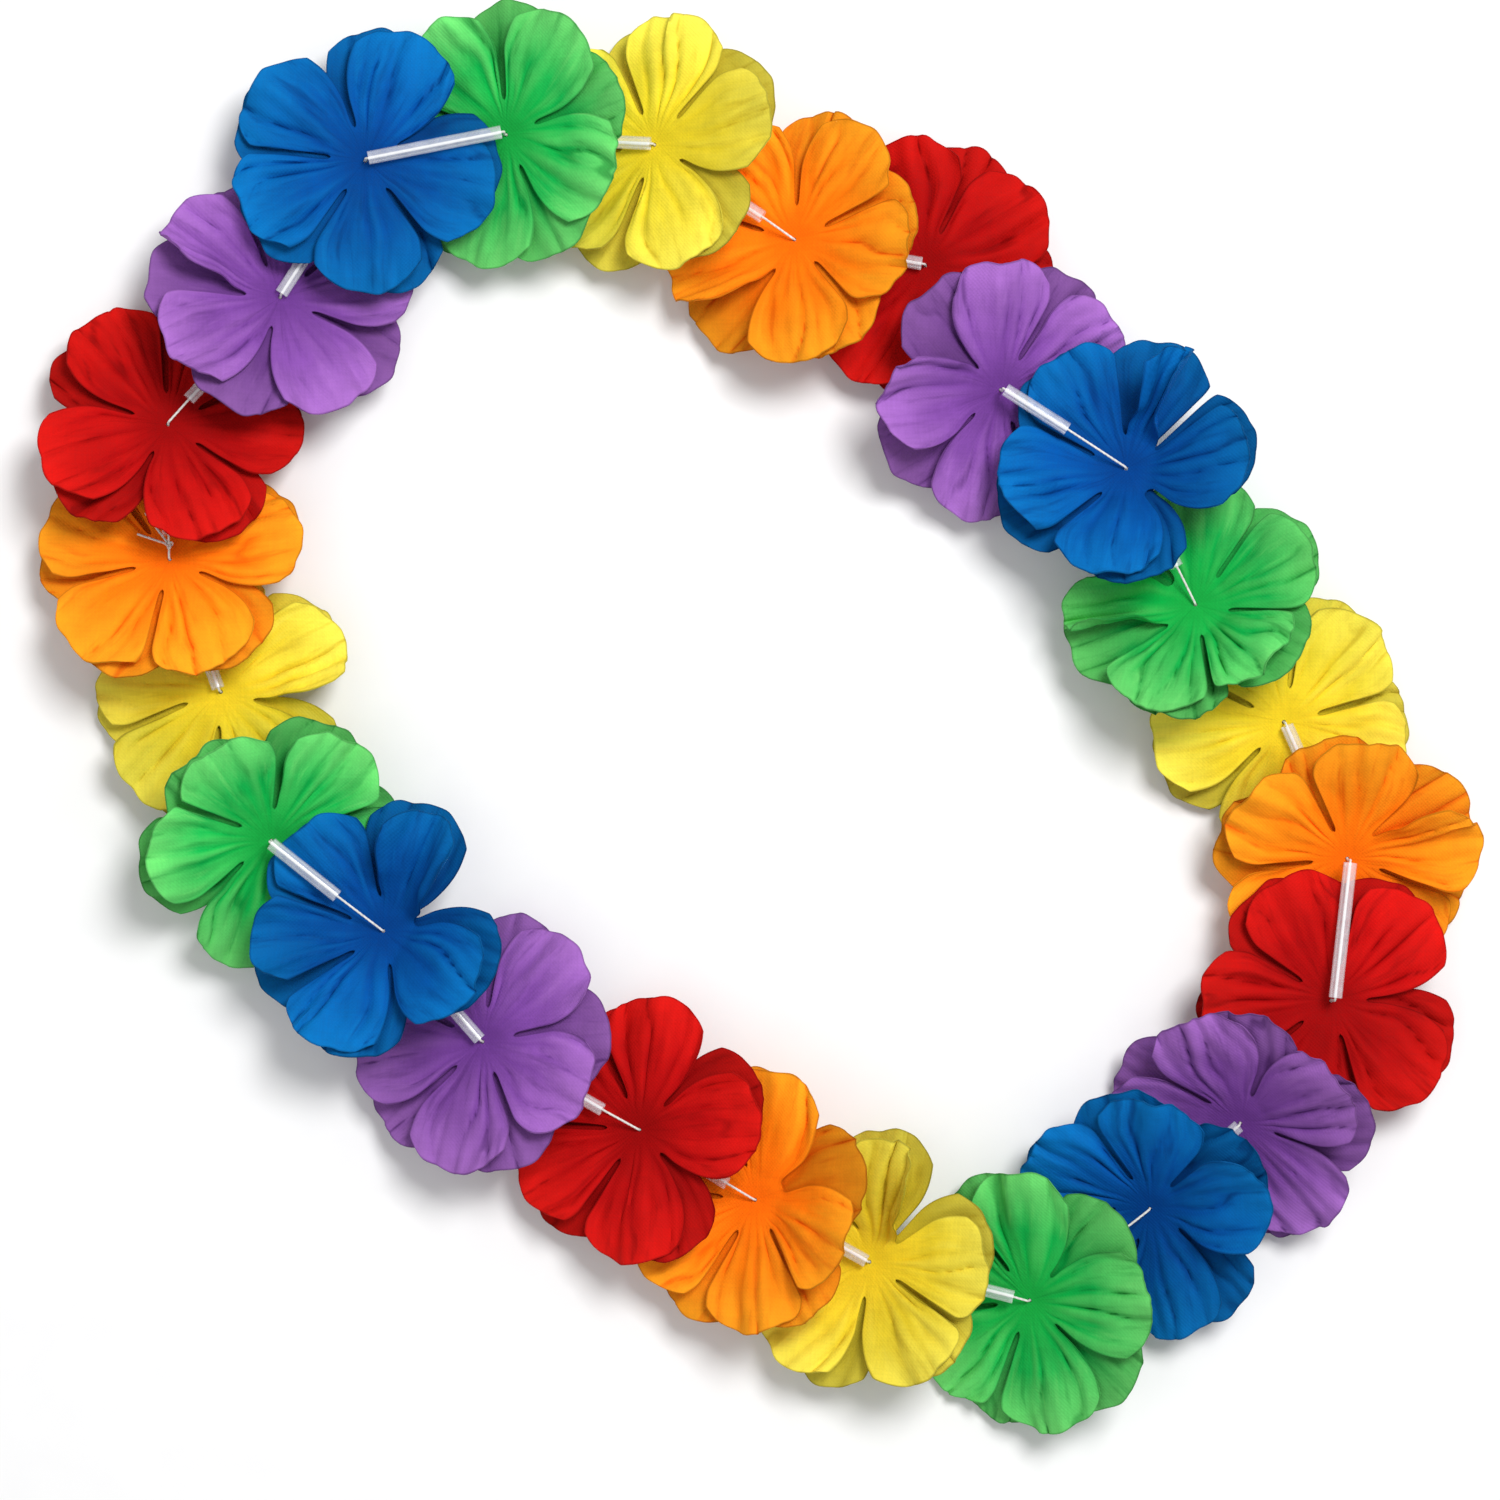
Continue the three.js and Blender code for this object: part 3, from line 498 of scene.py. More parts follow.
def attributeNode(tree, name, output="Fac"):
    node = addNode(tree, "ShaderNodeAttribute", attribute_name=name, attribute_type="GEOMETRY")
    return node.outputs[output]


def objectPlace(tree):
    return tree.nodes.new("ShaderNodeTexCoord").outputs["Object"]


def noiseAt(tree, place, scale, detail=2.0, roughness=0.5):
    node = addNode(tree, "ShaderNodeTexNoise",
                   {"Vector": place, "Scale": scale, "Detail": detail, "Roughness": roughness})
    return node.outputs["Fac"]


def bumpFrom(tree, height, strength, distance):
    node = addNode(tree, "ShaderNodeBump", {"Height": height, "Strength": strength, "Distance": distance})
    return node.outputs[0]


def ramp(tree, factor, places, colours):
    node = addNode(tree, "ShaderNodeValToRGB", {"Fac": factor})
    elements = node.color_ramp.elements
    while len(elements) < len(places):
        elements.new(0.5)
    for element, place, colour in zip(elements, places, colours):
        element.position = place
        element.color = (*colour, 1)
    return node.outputs["Color"]


def blendColours(tree, factor, first, second, how="MIX"):
    node = addNode(tree, "ShaderNodeMix", {0: factor, 6: first, 7: second}, data_type="RGBA", blend_type=how)
    return node.outputs[2]


# Cloth: base colour from the hub to the tip, with painted shade in the creases, in a band along the rims and
# on the under layer, and a painted highlight on the ridges. A pair of numbers is the range that a fact or a
# noise is faded over.
clothMap = 100.0  # millimetres of cloth across the whole UV map
dyeAndPaintedLight = {
    "stops": (0.08, 0.55, 1.0),  # how far out the hub's, main and light colours stand
    "streaks": 4.5, "length": 1.3, "apart": 60.0, "detail": 4.0, "roughness": 0.6,
    "pale": 0.75, "paleRange": (0.45, 0.72), "paleReach": (0.25, 0.85),
    # ridge: the painted highlight on the veins' ridges; crease: the painted shade in their valleys
    "ridge": 0.35, "ridgeRange": (0.35, 0.95), "crease": 0.58, "creaseRange": (0.42, 0.0),
    "blot": 0.45, "blotRange": (0.48, 0.26), "patches": 0.07, "patchScale": 9.0,
    "rimShade": 0.58, "layers": (0.74, 1.02),  # painted shade: brightness at the rim, and of the under and upper layer
}
weave = {
    "thread": 0.55, "slub": 0.06, "slubStretch": (14.0, 150.0), "slubDetail": 3.0, "slubRoughness": 0.55,
    "slubHeight": 2.2, "bump": 0.28, "depth": 0.00012, "roughness": (0.70, 0.88),
    "specular": 0.06, "sheen": 0.07, "sheenRoughness": 0.4,
}


def clothMaterial(colour):
    tones = clothColours[colour]
    material, tree, shader = newMaterial("cloth_" + colour)
    reach, vein, edge, layer = (attributeNode(tree, name) for name in ("reach", "vein", "edge", "layer"))
    base = ramp(tree, reach, dyeAndPaintedLight["stops"], (tones["hub"], tones["main"], tones["light"]))
    # The dye has run outwards from the hub in streaks.
    run = addNode(tree, "ShaderNodeCombineXYZ", {
        0: times(tree, attributeNode(tree, "across"), dyeAndPaintedLight["streaks"]),
        1: times(tree, attributeNode(tree, "out"), dyeAndPaintedLight["length"]),
        2: times(tree, attributeNode(tree, "jitter"), dyeAndPaintedLight["apart"])})
    streak = noiseAt(tree, run.outputs[0], 1.0, dyeAndPaintedLight["detail"], dyeAndPaintedLight["roughness"])
    # Lighter towards the light colour: the dye's pale streaks, and a painted highlight on the veins' ridges.
    pale = times(tree, spread(tree, streak, *dyeAndPaintedLight["paleRange"]), spread(tree, reach, *dyeAndPaintedLight["paleReach"]),
                 dyeAndPaintedLight["pale"])
    ridge = times(tree, spread(tree, vein, *dyeAndPaintedLight["ridgeRange"]), dyeAndPaintedLight["ridge"])
    light = blendColours(tree, calc(tree, "MAXIMUM", pale, ridge), base, (*tones["light"], 1))
    # Darker towards the deep colour: painted shade in the veins' creases, and the dye's dark blots.
    crease = times(tree, spread(tree, vein, *dyeAndPaintedLight["creaseRange"]), dyeAndPaintedLight["crease"])
    blot = times(tree, spread(tree, streak, *dyeAndPaintedLight["blotRange"]), dyeAndPaintedLight["blot"])
    dark = blendColours(tree, calc(tree, "MAXIMUM", crease, blot), light, (*tones["deep"], 1))
    # Slubs run along both sets of threads.
    flat = addNode(tree, "ShaderNodeUVMap", uv_map="cloth").outputs["UV"]
    slubs = []
    for stretch in (weave["slubStretch"], weave["slubStretch"][::-1]):
        stretched = addNode(tree, "ShaderNodeMapping", {"Vector": flat, "Scale": (*stretch, 1)})
        slubs.append(noiseAt(tree, stretched.outputs[0], 1.0, weave["slubDetail"], weave["slubRoughness"]))
    slub = times(tree, plus(tree, *slubs), 0.5)
    patches = noiseAt(tree, flat, dyeAndPaintedLight["patchScale"])
    tone = plus(tree, spread(tree, slub, *noiseMiddle, 1 - weave["slub"], 1 + weave["slub"]),
                spread(tree, patches, *noiseMiddle, -dyeAndPaintedLight["patches"], dyeAndPaintedLight["patches"]))
    # Painted shade: darker in the band along the rim and on the whole under layer.
    tone = times(tree, tone, spread(tree, edge, 0.0, 1.0, dyeAndPaintedLight["rimShade"], 1.0),
                 spread(tree, layer, 0.0, 1.0, *dyeAndPaintedLight["layers"]), attributeNode(tree, "dyeAndPaintedLight"))
    shade = addNode(tree, "ShaderNodeCombineColor", {0: tone, 1: tone, 2: tone}).outputs[0]
    # The weave itself: over and under of two sets of threads.
    split = addNode(tree, "ShaderNodeSeparateXYZ", {"Vector": flat})
    turns = clothMap * math.pi / weave["thread"]
    threads = [calc(tree, "SINE", times(tree, split.outputs[k], turns)) for k in (0, 1)]
    height = plus(tree, times(tree, *threads), times(tree, slub, weave["slubHeight"]))
    fillSockets(tree, shader, {
        "Base Color": blendColours(tree, 1.0, dark, shade, "MULTIPLY"),
        "Roughness": spread(tree, slub, *noiseMiddle, *weave["roughness"]),
        "Normal": bumpFrom(tree, height, weave["bump"], weave["depth"]),
        "Specular IOR Level": weave["specular"], "Sheen Weight": weave["sheen"],
        "Sheen Roughness": weave["sheenRoughness"], "Sheen Tint": (*tones["light"], 1)})
    return material


# Blooms: two die-cut layers each, with pressed veins, small wrinkles and a waved rim.
bloomShape = {
    "across": 31, "hubRows": 6, "petalRows": 26, "firstOut": 0.022,  # the lattice of a petal
    "thickness": 0.36, "weld": 0.004, "sharpAngle": 55,
    "smoothing": 3, "smoothFrom": (0.06, 0.22),  # the hole keeps its size
    "veins": 4, "veinDepth": 1.35, "veinFrom": (0.07, 0.60), "veinRoundness": 0.85, "veinLevel": 0.6,
    "wander": 0.13, "uneven": 0.8, "unevenSeed": 9.0, "calmSides": 0.8, "calmPower": 6.0,
    "wrinkle": 0.85, "ruffle": 1.45, "lobe": 0.7, "lobePower": 6,
    "underShare": 0.3,  # how much of the wrinkles the under layer gets
    "tableGap": 0.55,   # of the thickness, from the table to the middle of the cloth
    "hole": 0.6,        # just wide enough for the thread
    "parting": 7.0,     # the two layers touch at the hole and are fully apart this far from it
    "touching": 0.52,   # of the thickness, from where the layers meet to the middle of each
    "edgeOut": 30, "edgeAcross": 12, "edgeHub": 10, "edgeWidth": 0.9,  # the rim's band of painted shade
    "dyeAndPaintedLight": 0.12, "dyeTurn": 90, "dyeFrom": 0.5,  # petals differ a little in tone: partly their dye, partly painted light and shade for their different tilts
    "jitter": 0.12, "jitterStep": 37.0, "seedStep": 5.3, "firstSeed": 100,
}
clothWaves = {  # each noise's scale across and outwards, and how it grows towards the rim
    "wander": (1.5, 0.9), "uneven": (1.6, 0.6), "Wrinkle": (2.8, 1.5, 1.0), "Ruffle": (1.5, 0.5, 2.2),
}


def clothNoise(tree, across, out, seed, acrossScale, outScale):  # from -1 to 1, over one petal
    place = addNode(tree, "ShaderNodeCombineXYZ", {
        0: times(tree, across, acrossScale), 1: times(tree, out, outScale)})
    noise = addNode(tree, "ShaderNodeTexNoise", {
        "Vector": place.outputs[0], "W": seed, "Scale": 1.0, "Detail": 1.0}, noise_dimensions="4D")
    return spread(tree, noise.outputs["Fac"], 0.25, 0.75, -1.0, 1.0)


def bloomTree():
    shape = bloomShape
    tree, value, output = newGeometryTree("pressed_cloth", [
        ("Thickness", "Float", 0.0003), ("Smoothing", "Int", 3), ("Veins", "Float", 5.0),
        ("Vein Depth", "Float", 0.0004), ("Wrinkle", "Float", 0.0003), ("Ruffle", "Float", 0.0005),
        ("Seed", "Float", 0.0), ("Material", "Material", None)])
    out, across, reach, jitter, layer = (readAttribute(tree, name)
                                         for name in ("out", "across", "reach", "jitter", "layer"))
    blur = addNode(tree, "GeometryNodeBlurAttribute", {
        "Value": pointInput(tree, "Position"), "Iterations": value["Smoothing"],
        "Weight": spread(tree, reach, *shape["smoothFrom"])}, data_type="FLOAT_VECTOR")
    smooth = movePoints(tree, value["Geometry"], Position=blur.outputs[0])
    # Veins: thin valleys with broad ridges between them, fanning out from the petal's foot.
    seed = plus(tree, value["Seed"], times(tree, jitter, shape["jitterStep"]))
    wander = times(tree, clothNoise(tree, across, out, seed, *clothWaves["wander"]), shape["wander"])
    turn = plus(tree, times(tree, across, 0.5), jitter, wander)
    turn = times(tree, turn, times(tree, value["Veins"], math.pi))
    ridge = calc(tree, "POWER", arches(tree, turn), shape["veinRoundness"])
    grown = spread(tree, reach, *shape["veinFrom"])
    side = calc(tree, "POWER", calc(tree, "ABSOLUTE", across), shape["calmPower"])
    calm = calc(tree, "SUBTRACT", 1.0, times(tree, side, shape["calmSides"]))
    patchy = clothNoise(tree, across, out, plus(tree, seed, shape["unevenSeed"]), *clothWaves["uneven"])
    uneven = plus(tree, shape["uneven"], times(tree, patchy, shape["uneven"]))
    strength = times(tree, grown, calm, uneven)
    veined = times(tree, calc(tree, "SUBTRACT", ridge, shape["veinLevel"]), strength, value["Vein Depth"])
    vein = plus(tree, 0.5, times(tree, calc(tree, "SUBTRACT", ridge, 0.5), strength))
    # The vein mark: low in the valleys, high on the ridges. The material paints shade in the valleys and a
    # highlight on the ridges from it.
    marked = keepAttribute(tree, smooth, "vein", vein)
    # Wrinkles and the rim's ruffle: noise that is long outwards and short across.
    waves, share = [], spread(tree, layer, 0.0, 1.0, shape["underShare"], 1.0)
    for height in ("Wrinkle", "Ruffle"):
        acrossScale, outScale, power = clothWaves[height]
        growth = calc(tree, "POWER", calc(tree, "MAXIMUM", out, 0.0), power)
        wave = clothNoise(tree, across, out, seed, acrossScale, outScale)
        waves.append(times(tree, wave, times(tree, growth, value[height]), share))
    offset = scaled(tree, pointInput(tree, "Normal"), plus(tree, veined, plus(tree, *waves)))
    pressed = movePoints(tree, marked, Offset=offset)
    # Nothing reaches below the table.
    place = addNode(tree, "ShaderNodeSeparateXYZ", {0: pointInput(tree, "Position")}).outputs
    height = calc(tree, "MAXIMUM", place[2], times(tree, value["Thickness"], shape["tableGap"]))
    above = addNode(tree, "ShaderNodeCombineXYZ", {0: place[0], 1: place[1], 2: height})
    lying = movePoints(tree, pressed, Position=above.outputs[0])
    cloth = thicken(tree, lying, value["Thickness"])
    finishTree(tree, cloth, output, value["Material"], shape["sharpAngle"])
    return tree


def petalSheet(petal, hub, layer, jitter):  # a lattice from the hole to the petal's rim
    shape, cut = bloomShape, petalCut
    columns = np.linspace(-1, 1, shape["across"])
    hubSteps = np.linspace(0, 1, shape["hubRows"] + 1)
    outs = np.concatenate((hubSteps * 0, np.linspace(shape["firstOut"], 1, shape["petalRows"])))
    step = np.repeat(np.concatenate((hubSteps, np.ones(shape["petalRows"]))), len(columns))
    out, across = (facts.ravel() for facts in np.meshgrid(outs, columns, indexing="ij"))
    points = petalPoints(petal, out, across)
    angle = petal["direction"] + across * np.where(across < 0, petal["toRight"], petal["toLeft"])
    ring = np.column_stack((shape["hole"] * np.cos(angle), shape["hole"] * np.sin(angle),
                            np.full(len(angle), petal["middle"])))
    points = ring + (points - ring) * step[:, None]
    # The rim swells out a little between the veins.
    swell = np.abs(np.sin((across / 2 + jitter) * shape["veins"] * math.pi))
    lobes = shape["lobe"] * swell * out ** shape["lobePower"]
    outwards = np.array((math.cos(petal["direction"]), math.sin(petal["direction"]), 0))
    points = points + outwards * lobes[:, None]
    radius = np.hypot(points[:, 0], points[:, 1])
    apart = np.clip((radius - shape["hole"]) / shape["parting"], 0, 1)
    touching = np.sign(petal["middle"]) * shape["thickness"] * shape["touching"]
    points[:, 2] += (touching - petal["middle"]) * (1 - apart * apart * (3 - 2 * apart))
    # How far each point is from the cut rim: the material paints shade in a thin band along it.
    toSide = np.where(out > 0, (1 - np.abs(across)) * shape["edgeAcross"], shape["edgeHub"])
    edge = np.minimum((1 - out) * shape["edgeOut"], toSide)
    # The per-petal tone (partly dye, partly painted light and shade) fades in outwards from the hole.
    dyed = np.clip(radius / cut["slitReach"] - shape["dyeFrom"], 0, 1)
    return {
        "points": toWorld(hub, points), "flat": points[:, :2].copy(),
        "rows": len(outs), "columns": len(columns),
        "out": out, "across": across, "reach": radius / cut["reach"],
        "edge": np.clip(edge / shape["edgeWidth"], 0, 1),
        "layer": np.full(len(out), float(layer)), "jitter": np.full(len(out), jitter),
        "dyeAndPaintedLight": 1 + shape["dyeAndPaintedLight"] * math.sin(jitter * shape["dyeTurn"]) * dyed,
    }


clothFacts = ("out", "across", "reach", "edge", "layer", "jitter", "dyeAndPaintedLight")  # kept at every point


def sheetMesh(name, sheets):  # joins petal lattices into one mesh with their attributes
    faces, start = [], 0
    for sheet in sheets:
        rows, columns = sheet["rows"], sheet["columns"]
        corner = start + (np.arange(rows - 1)[:, None] * columns + np.arange(columns - 1)).ravel()
        faces.append(np.column_stack((corner, corner + columns, corner + columns + 1, corner + 1)))
        start += rows * columns
    joined = {key: np.concatenate([sheet[key] for sheet in sheets])
              for key in ("points", "flat", *clothFacts)}
    # Petals of a layer share the cloth round the hub: points in the same place become one.
    keys = np.round(joined["points"] / bloomShape["weld"]).astype(np.int64)
    _, first, same = np.unique(keys, axis=0, return_index=True, return_inverse=True)
    quads = same.ravel()[np.concatenate(faces)]
    mesh = bpy.data.meshes.new(name)
    place = (joined["points"][first] + shift) * millimetre
    mesh.from_pydata(place.tolist(), [], quads.tolist())
    for key in clothFacts:
        kept = mesh.attributes.new(key, "FLOAT", "POINT")
        kept.data.foreach_set("value", joined[key][first].astype(np.float32))
    corners = np.empty(len(mesh.loops), np.int32)
    mesh.loops.foreach_get("vertex_index", corners)
    mesh.uv_layers.new(name="cloth").data.foreach_set(
        "uv", (joined["flat"][first][corners] / clothMap + 0.5).astype(np.float32).ravel())
    return mesh


clothMaterials = {colour: clothMaterial(colour) for colour in colourOrder}
pressedCloth = bloomTree()
for number, name in enumerate(flowerNames):
    laid = laidFlowers[name]
    random = np.random.default_rng(bloomShape["firstSeed"] + number)
    sheets, most = [], bloomShape["jitter"]
    for layer, petals in enumerate((laid["under"], laid["upper"])):
        sheets += [petalSheet(petal, laid["hub"], layer, random.uniform(-most, most)) for petal in petals]
    colour = colourOrder[number % len(colourOrder)]
    node = f"bloom_{number + 1:02d}_{colour}"
    piece = meshFromTree(f"cloth_{node}", sheetMesh(node, sheets), pressedCloth, {
        "Thickness": bloomShape["thickness"] * millimetre, "Smoothing": bloomShape["smoothing"],
        "Veins": float(bloomShape["veins"]), "Vein Depth": bloomShape["veinDepth"] * millimetre,
        "Wrinkle": bloomShape["wrinkle"] * millimetre, "Ruffle": bloomShape["ruffle"] * millimetre,
        "Seed": bloomShape["seedStep"] * number}, clothMaterials[colour])
    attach(piece, bodyName)
    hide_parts(node)
print("blooms made:", len(flowerNames))

# Straws: open tubes of clear plastic with painted highlight lines along them, standing in for the bright
# lines a clear tube shows at its edges and top.
strawShape = {"sides": 28, "wall": 0.35, "sharpAngle": 50,
              "reach": 2.0}  # how far the ends go in over the hubs
strawLook = {
    "streaks": 1.5, "streakTurn": 0.5, "streakRange": (0.90, 0.995), "cloud": 300.0,
    "clear": (0.90, 0.92, 0.97, 1), "highlightWhite": (0.97, 0.98, 1.0, 1),
    "solid": (0.14, 0.22), "streakSolid": 0.40, "roughness": (0.14, 0.34),
    "bump": 0.3, "depth": 0.0001, "ior": 1.49, "coat": 0.5, "coatRoughness": 0.12,
}


def strawTree():
    tree, value, output = newGeometryTree("clear_tube", [
        ("Radius", "Float", 0.0019), ("Wall", "Float", 0.0004), ("Sides", "Int", 24),
        ("Material", "Material", None)])
    line = addNode(tree, "GeometryNodeMeshToCurve", {"Mesh": value["Geometry"]})
    middle = calc(tree, "SUBTRACT", value["Radius"], times(tree, value["Wall"], 0.5))
    ring = addNode(tree, "GeometryNodeCurvePrimitiveCircle", {"Resolution": value["Sides"], "Radius": middle})
    marked = keepAttribute(tree, ring.outputs[0], "around", pointInput(tree, "Position"), "FLOAT_VECTOR")
    tube = addNode(tree, "GeometryNodeCurveToMesh", {"Curve": line.outputs[0], "Profile Curve": marked})
    wall = thicken(tree, tube.outputs[0], value["Wall"])
    finishTree(tree, wall, output, value["Material"], strawShape["sharpAngle"])
    return tree


def strawMaterial():
    look = strawLook
    material, tree, shader = newMaterial("clear_plastic")
    angle = angleRound(tree, attributeNode(tree, "around", "Vector"))
    # Painted highlight: whiter and more solid lines at a few places round the ring.
    turned = plus(tree, times(tree, angle, look["streaks"]), look["streakTurn"])
    streak = spread(tree, arches(tree, turned), *look["streakRange"])
    cloud = noiseAt(tree, objectPlace(tree), look["cloud"])
    fillSockets(tree, shader, {
        "Base Color": blendColours(tree, streak, look["clear"], look["highlightWhite"]),
        "Alpha": plus(tree, times(tree, streak, look["streakSolid"]),
                      spread(tree, cloud, *noiseMiddle, *look["solid"])),
        "Roughness": spread(tree, cloud, *noiseMiddle, *look["roughness"]),
        "Normal": bumpFrom(tree, plus(tree, streak, cloud), look["bump"], look["depth"]),
        "IOR": look["ior"], "Coat Weight": look["coat"], "Coat Roughness": look["coatRoughness"]})
    return material


def longStraw(name):  # a straw that isn't cut short reaches in over the hub
    pair = name + neighbour(name, 1)
    first, last = laidStraws[pair]
    ahead = unit(last - first) * strawShape["reach"]
    cut = [start > strawSize["start"] for start in strawLay.get(pair, {}).get("start", (0, 0))]
    return [first - ahead * (not cut[0]), last + ahead * (not cut[1])]


strawLines = bpy.data.meshes.new("straw_lines")
strawTips = {name: longStraw(name) for name in flowerNames}
strawPoints = [tuple((end + shift) * millimetre) for name in flowerNames for end in strawTips[name]]
strawLines.from_pydata(strawPoints, [(2 * i, 2 * i + 1) for i in range(len(flowerNames))], [])
straws = meshFromTree("spacer_straws", strawLines, strawTree(), {
    "Radius": strawSize["radius"] * millimetre, "Wall": strawShape["wall"] * millimetre,
    "Sides": strawShape["sides"]}, strawMaterial())
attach(straws, bodyName)
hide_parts(*[f"straw_{i + 1:02d}" for i in range(len(flowerNames))])
print("straws made:", len(flowerNames))

# Thread: three twisted strands in one closed loop with a knot and two tails.
threadShape = {
    "radius": 0.36, "sides": 12, "strands": 3, "strandDepth": 0.16, "twist": 1.5, "sharpAngle": 70,
    "step": 0.55, "corner": 0.55, "cornerSteps": 4, "through": 1.5,
    "sag": 0.2, "beyond": 0.8,  # it lies low in the straws, and runs straight a little past their ends
    "knotted": "V", "knotAhead": 4.2, "knotHeight": 1.6, "knotSize": (0.357, 0.357, 0.527), "knotSteps": 40,
    "tails": ((-7.0, 9.0, -2.4), (-9.0, 3.0, -0.8)), "tailBend": (0.4, 0.4, 0.25),
}
threadLook = {
    "fibre": 1400.0, "detail": 3.0, "dark": (0.62, 0.61, 0.57), "light": (0.88, 0.87, 0.83),
    "roughness": (0.6, 0.85), "bump": 0.5, "depth": 0.0001, "sheen": 0.3,
}


def threadTree():
    shape = threadShape
    tree, value, output = newGeometryTree("twisted_thread", [
        ("Radius", "Float", 0.00045), ("Corner", "Float", 0.001), ("Step", "Float", 0.0005),
        ("Twist", "Float", 1500.0), ("Strand Depth", "Float", 0.16), ("Material", "Material", None)])
    line = addNode(tree, "GeometryNodeMeshToCurve", {"Mesh": value["Geometry"]})
    rounded = addNode(tree, "GeometryNodeFilletCurve", {
        "Curve": line.outputs[0], "Radius": value["Corner"], "Limit Radius": True,
        "Count": shape["cornerSteps"]}, mode="POLY")
    even = addNode(tree, "GeometryNodeResampleCurve", {
        "Curve": rounded.outputs[0], "Length": value["Step"]}, mode="LENGTH")
    gone = tree.nodes.new("GeometryNodeSplineParameter").outputs["Length"]
    twisted = addNode(tree, "GeometryNodeSetCurveTilt", {
        "Curve": even.outputs[0], "Tilt": times(tree, gone, value["Twist"])})
    ring = addNode(tree, "GeometryNodeCurvePrimitiveCircle", {
        "Resolution": shape["sides"], "Radius": value["Radius"]})
    place = pointInput(tree, "Position")
    strand = arches(tree, times(tree, angleRound(tree, place), shape["strands"] / 2))
    groove = times(tree, value["Strand Depth"], calc(tree, "SUBTRACT", 1.0, strand))
    lobed = movePoints(tree, ring.outputs[0],
                       Position=scaled(tree, place, calc(tree, "SUBTRACT", 1.0, groove)))
    cord = addNode(tree, "GeometryNodeCurveToMesh", {
        "Curve": twisted.outputs[0], "Profile Curve": lobed, "Fill Caps": True})
    finishTree(tree, cord.outputs[0], output, value["Material"], shape["sharpAngle"])
    return tree


def threadMaterial():
    look = threadLook
    material, tree, shader = newMaterial("white_thread")
    fibre = noiseAt(tree, objectPlace(tree), look["fibre"], look["detail"])
    fillSockets(tree, shader, {
        "Base Color": ramp(tree, fibre, noiseMiddle, (look["dark"], look["light"])),
        "Roughness": spread(tree, fibre, *noiseMiddle, *look["roughness"]),
        "Normal": bumpFrom(tree, fibre, look["bump"], look["depth"]), "Sheen Weight": look["sheen"]})
    return material


def throughStraw(name):  # straight through the bore and a little way out of both ends
    first, last = strawTips[name]
    ahead, down = unit(last - first) * threadShape["beyond"], upwards * threadShape["sag"]
    return [first - ahead - down, last + ahead - down]


def threadRoutes():
    shape, knotted = threadShape, threadShape["knotted"]
    towards = strawTips[knotted][0] - holeOf(knotted)
    towards[2] = 0
    knot = holeOf(knotted) + unit(towards) * shape["knotAhead"] + upwards * shape["knotHeight"]
    loop = [knot] + throughStraw(knotted)
    for name in (neighbour(knotted, 1 + i) for i in range(len(flowerNames))):
        side = shape["through"] if flowers[name]["way"] == "up" else -shape["through"]
        square = hubAxes(name)["turn"][:, 2] * side
        loop += [holeOf(name) - square, holeOf(name) + square]
        if name != knotted:
            loop += throughStraw(name)
    # An overhand knot, and its two cut ends.
    steps = np.linspace(0, 2 * math.pi, shape["knotSteps"])
    turns = np.column_stack((np.sin(steps) + 2 * np.sin(2 * steps), np.cos(steps) - 2 * np.cos(2 * steps),
                             -np.sin(3 * steps)))
    tails = [[knot, knot + np.array(tail) * shape["tailBend"], knot + np.array(tail)]
             for tail in shape["tails"]]
    return [loop + [knot], list(knot + turns * shape["knotSize"])] + tails


threadLines = bpy.data.meshes.new("thread_lines")
threadPoints, threadEdges = [], []
for route in threadRoutes():
    threadEdges += [(len(threadPoints) + i, len(threadPoints) + i + 1) for i in range(len(route) - 1)]
    threadPoints += [tuple((point + shift) * millimetre) for point in route]
threadLines.from_pydata(threadPoints, threadEdges, [])
thread = meshFromTree("knotted_thread", threadLines, threadTree(), {
    "Radius": threadShape["radius"] * millimetre, "Corner": threadShape["corner"] * millimetre,
    "Step": threadShape["step"] * millimetre, "Twist": threadShape["twist"] / millimetre,
    "Strand Depth": threadShape["strandDepth"]}, threadMaterial())
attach(thread, bodyName)
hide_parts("thread")
print("thread made")

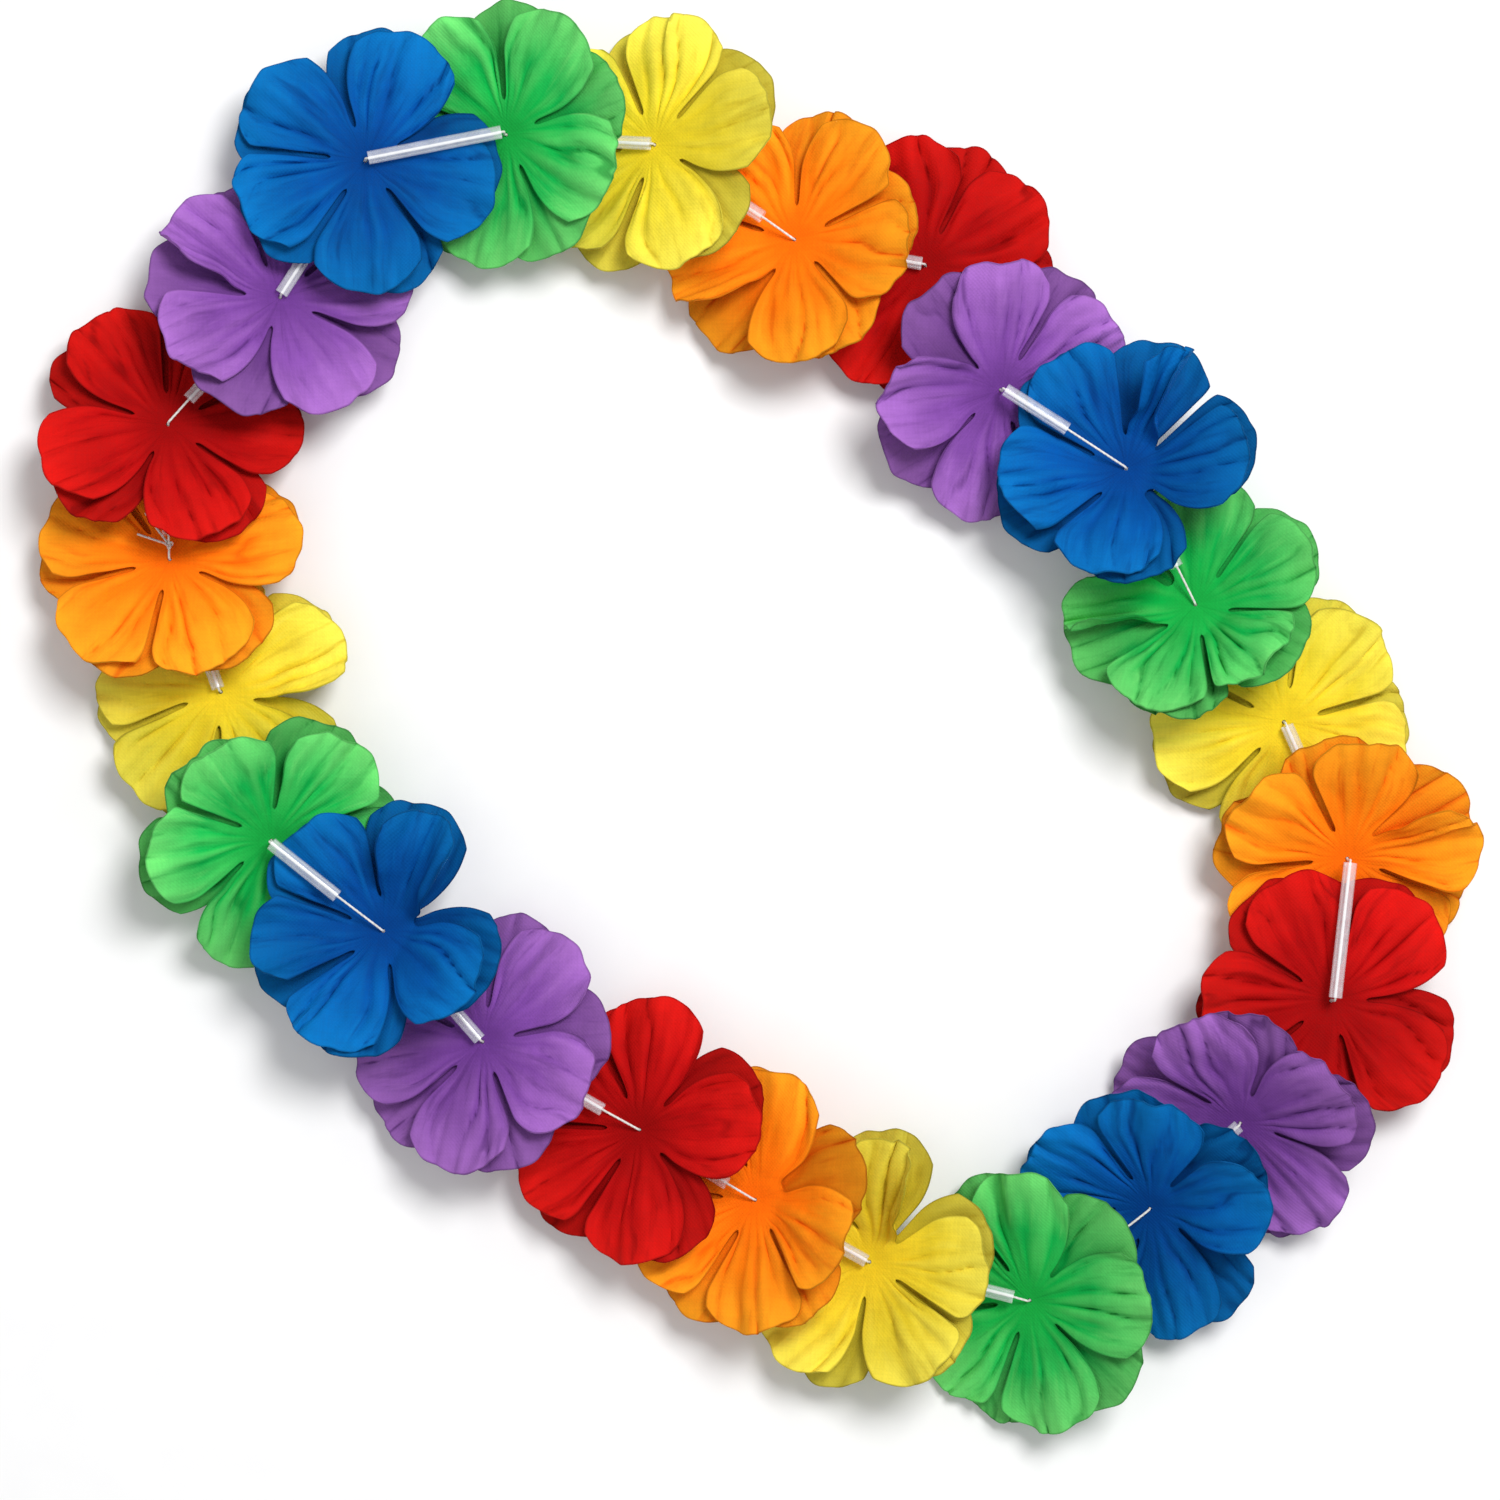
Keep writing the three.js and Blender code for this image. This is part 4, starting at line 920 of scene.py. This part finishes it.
# Floor, light and camera.
studio = {
    "floor": 3.0, "floorDrop": 0.0001, "floorRoughness": 0.9, "floorSpecular": 0.1,
    "grain": 60.0, "grainColours": ((0.90, 0.90, 0.905), (0.92, 0.92, 0.92)), "sky": 0.47,
    "key": 22.5, "keySize": 0.55, "keyPlace": (0.48, 0.57, 1.50),
    "fill": 3.0, "fillSize": 1.6, "fillPlace": (-0.7, -0.5, 1.5),
}
view = {"height": 1.2, "plane": 0.016, "frame": 0.42135, "sensor": 36.0}


def floorMaterial():
    material, tree, shader = newMaterial("pale_floor")
    grain = noiseAt(tree, objectPlace(tree), studio["grain"])
    fillSockets(tree, shader, {
        "Base Color": ramp(tree, grain, noiseMiddle, studio["grainColours"]),
        "Roughness": studio["floorRoughness"], "Specular IOR Level": studio["floorSpecular"]})
    return material


floorMesh = bpy.data.meshes.new("floor")
floorMesh.from_pydata([(x * studio["floor"], y * studio["floor"], -studio["floorDrop"])
                       for x, y in ((-1, -1), (1, -1), (1, 1), (-1, 1))], [], [(0, 1, 2, 3)])
floorMesh.materials.append(floorMaterial())
floor = bpy.data.objects.new("floor", floorMesh)
bpy.context.scene.collection.objects.link(floor)


def addLight(name, power, size, place):  # a square lamp turned towards the middle of the floor
    data = bpy.data.lights.new(name, "AREA")
    data.energy, data.size = power, size
    lamp = bpy.data.objects.new(name, data)
    bpy.context.scene.collection.objects.link(lamp)
    lamp.location = place
    x, y, z = place
    lamp.rotation_euler = (math.acos(z / np.linalg.norm(place)), 0, math.atan2(-y, -x) - math.pi / 2)


addLight("key_light", studio["key"], studio["keySize"], studio["keyPlace"])
addLight("fill_light", studio["fill"], studio["fillSize"], studio["fillPlace"])
world = bpy.data.worlds.new("studio_air")
world.use_nodes = True
world.node_tree.nodes["Background"].inputs["Color"].default_value = (1, 1, 1, 1)
world.node_tree.nodes["Background"].inputs["Strength"].default_value = studio["sky"]
bpy.context.scene.world = world
bpy.context.scene.view_settings.view_transform = "Standard"

cameraData = bpy.data.cameras.new("camera")
cameraData.sensor_width = view["sensor"]
cameraData.lens = view["sensor"] * (view["height"] - view["plane"]) / view["frame"]
camera = bpy.data.objects.new("camera", cameraData)
camera.location = (shift[0] * millimetre, shift[1] * millimetre, view["height"])
bpy.context.scene.collection.objects.link(camera)
bpy.context.scene.camera = camera
print("studio made")
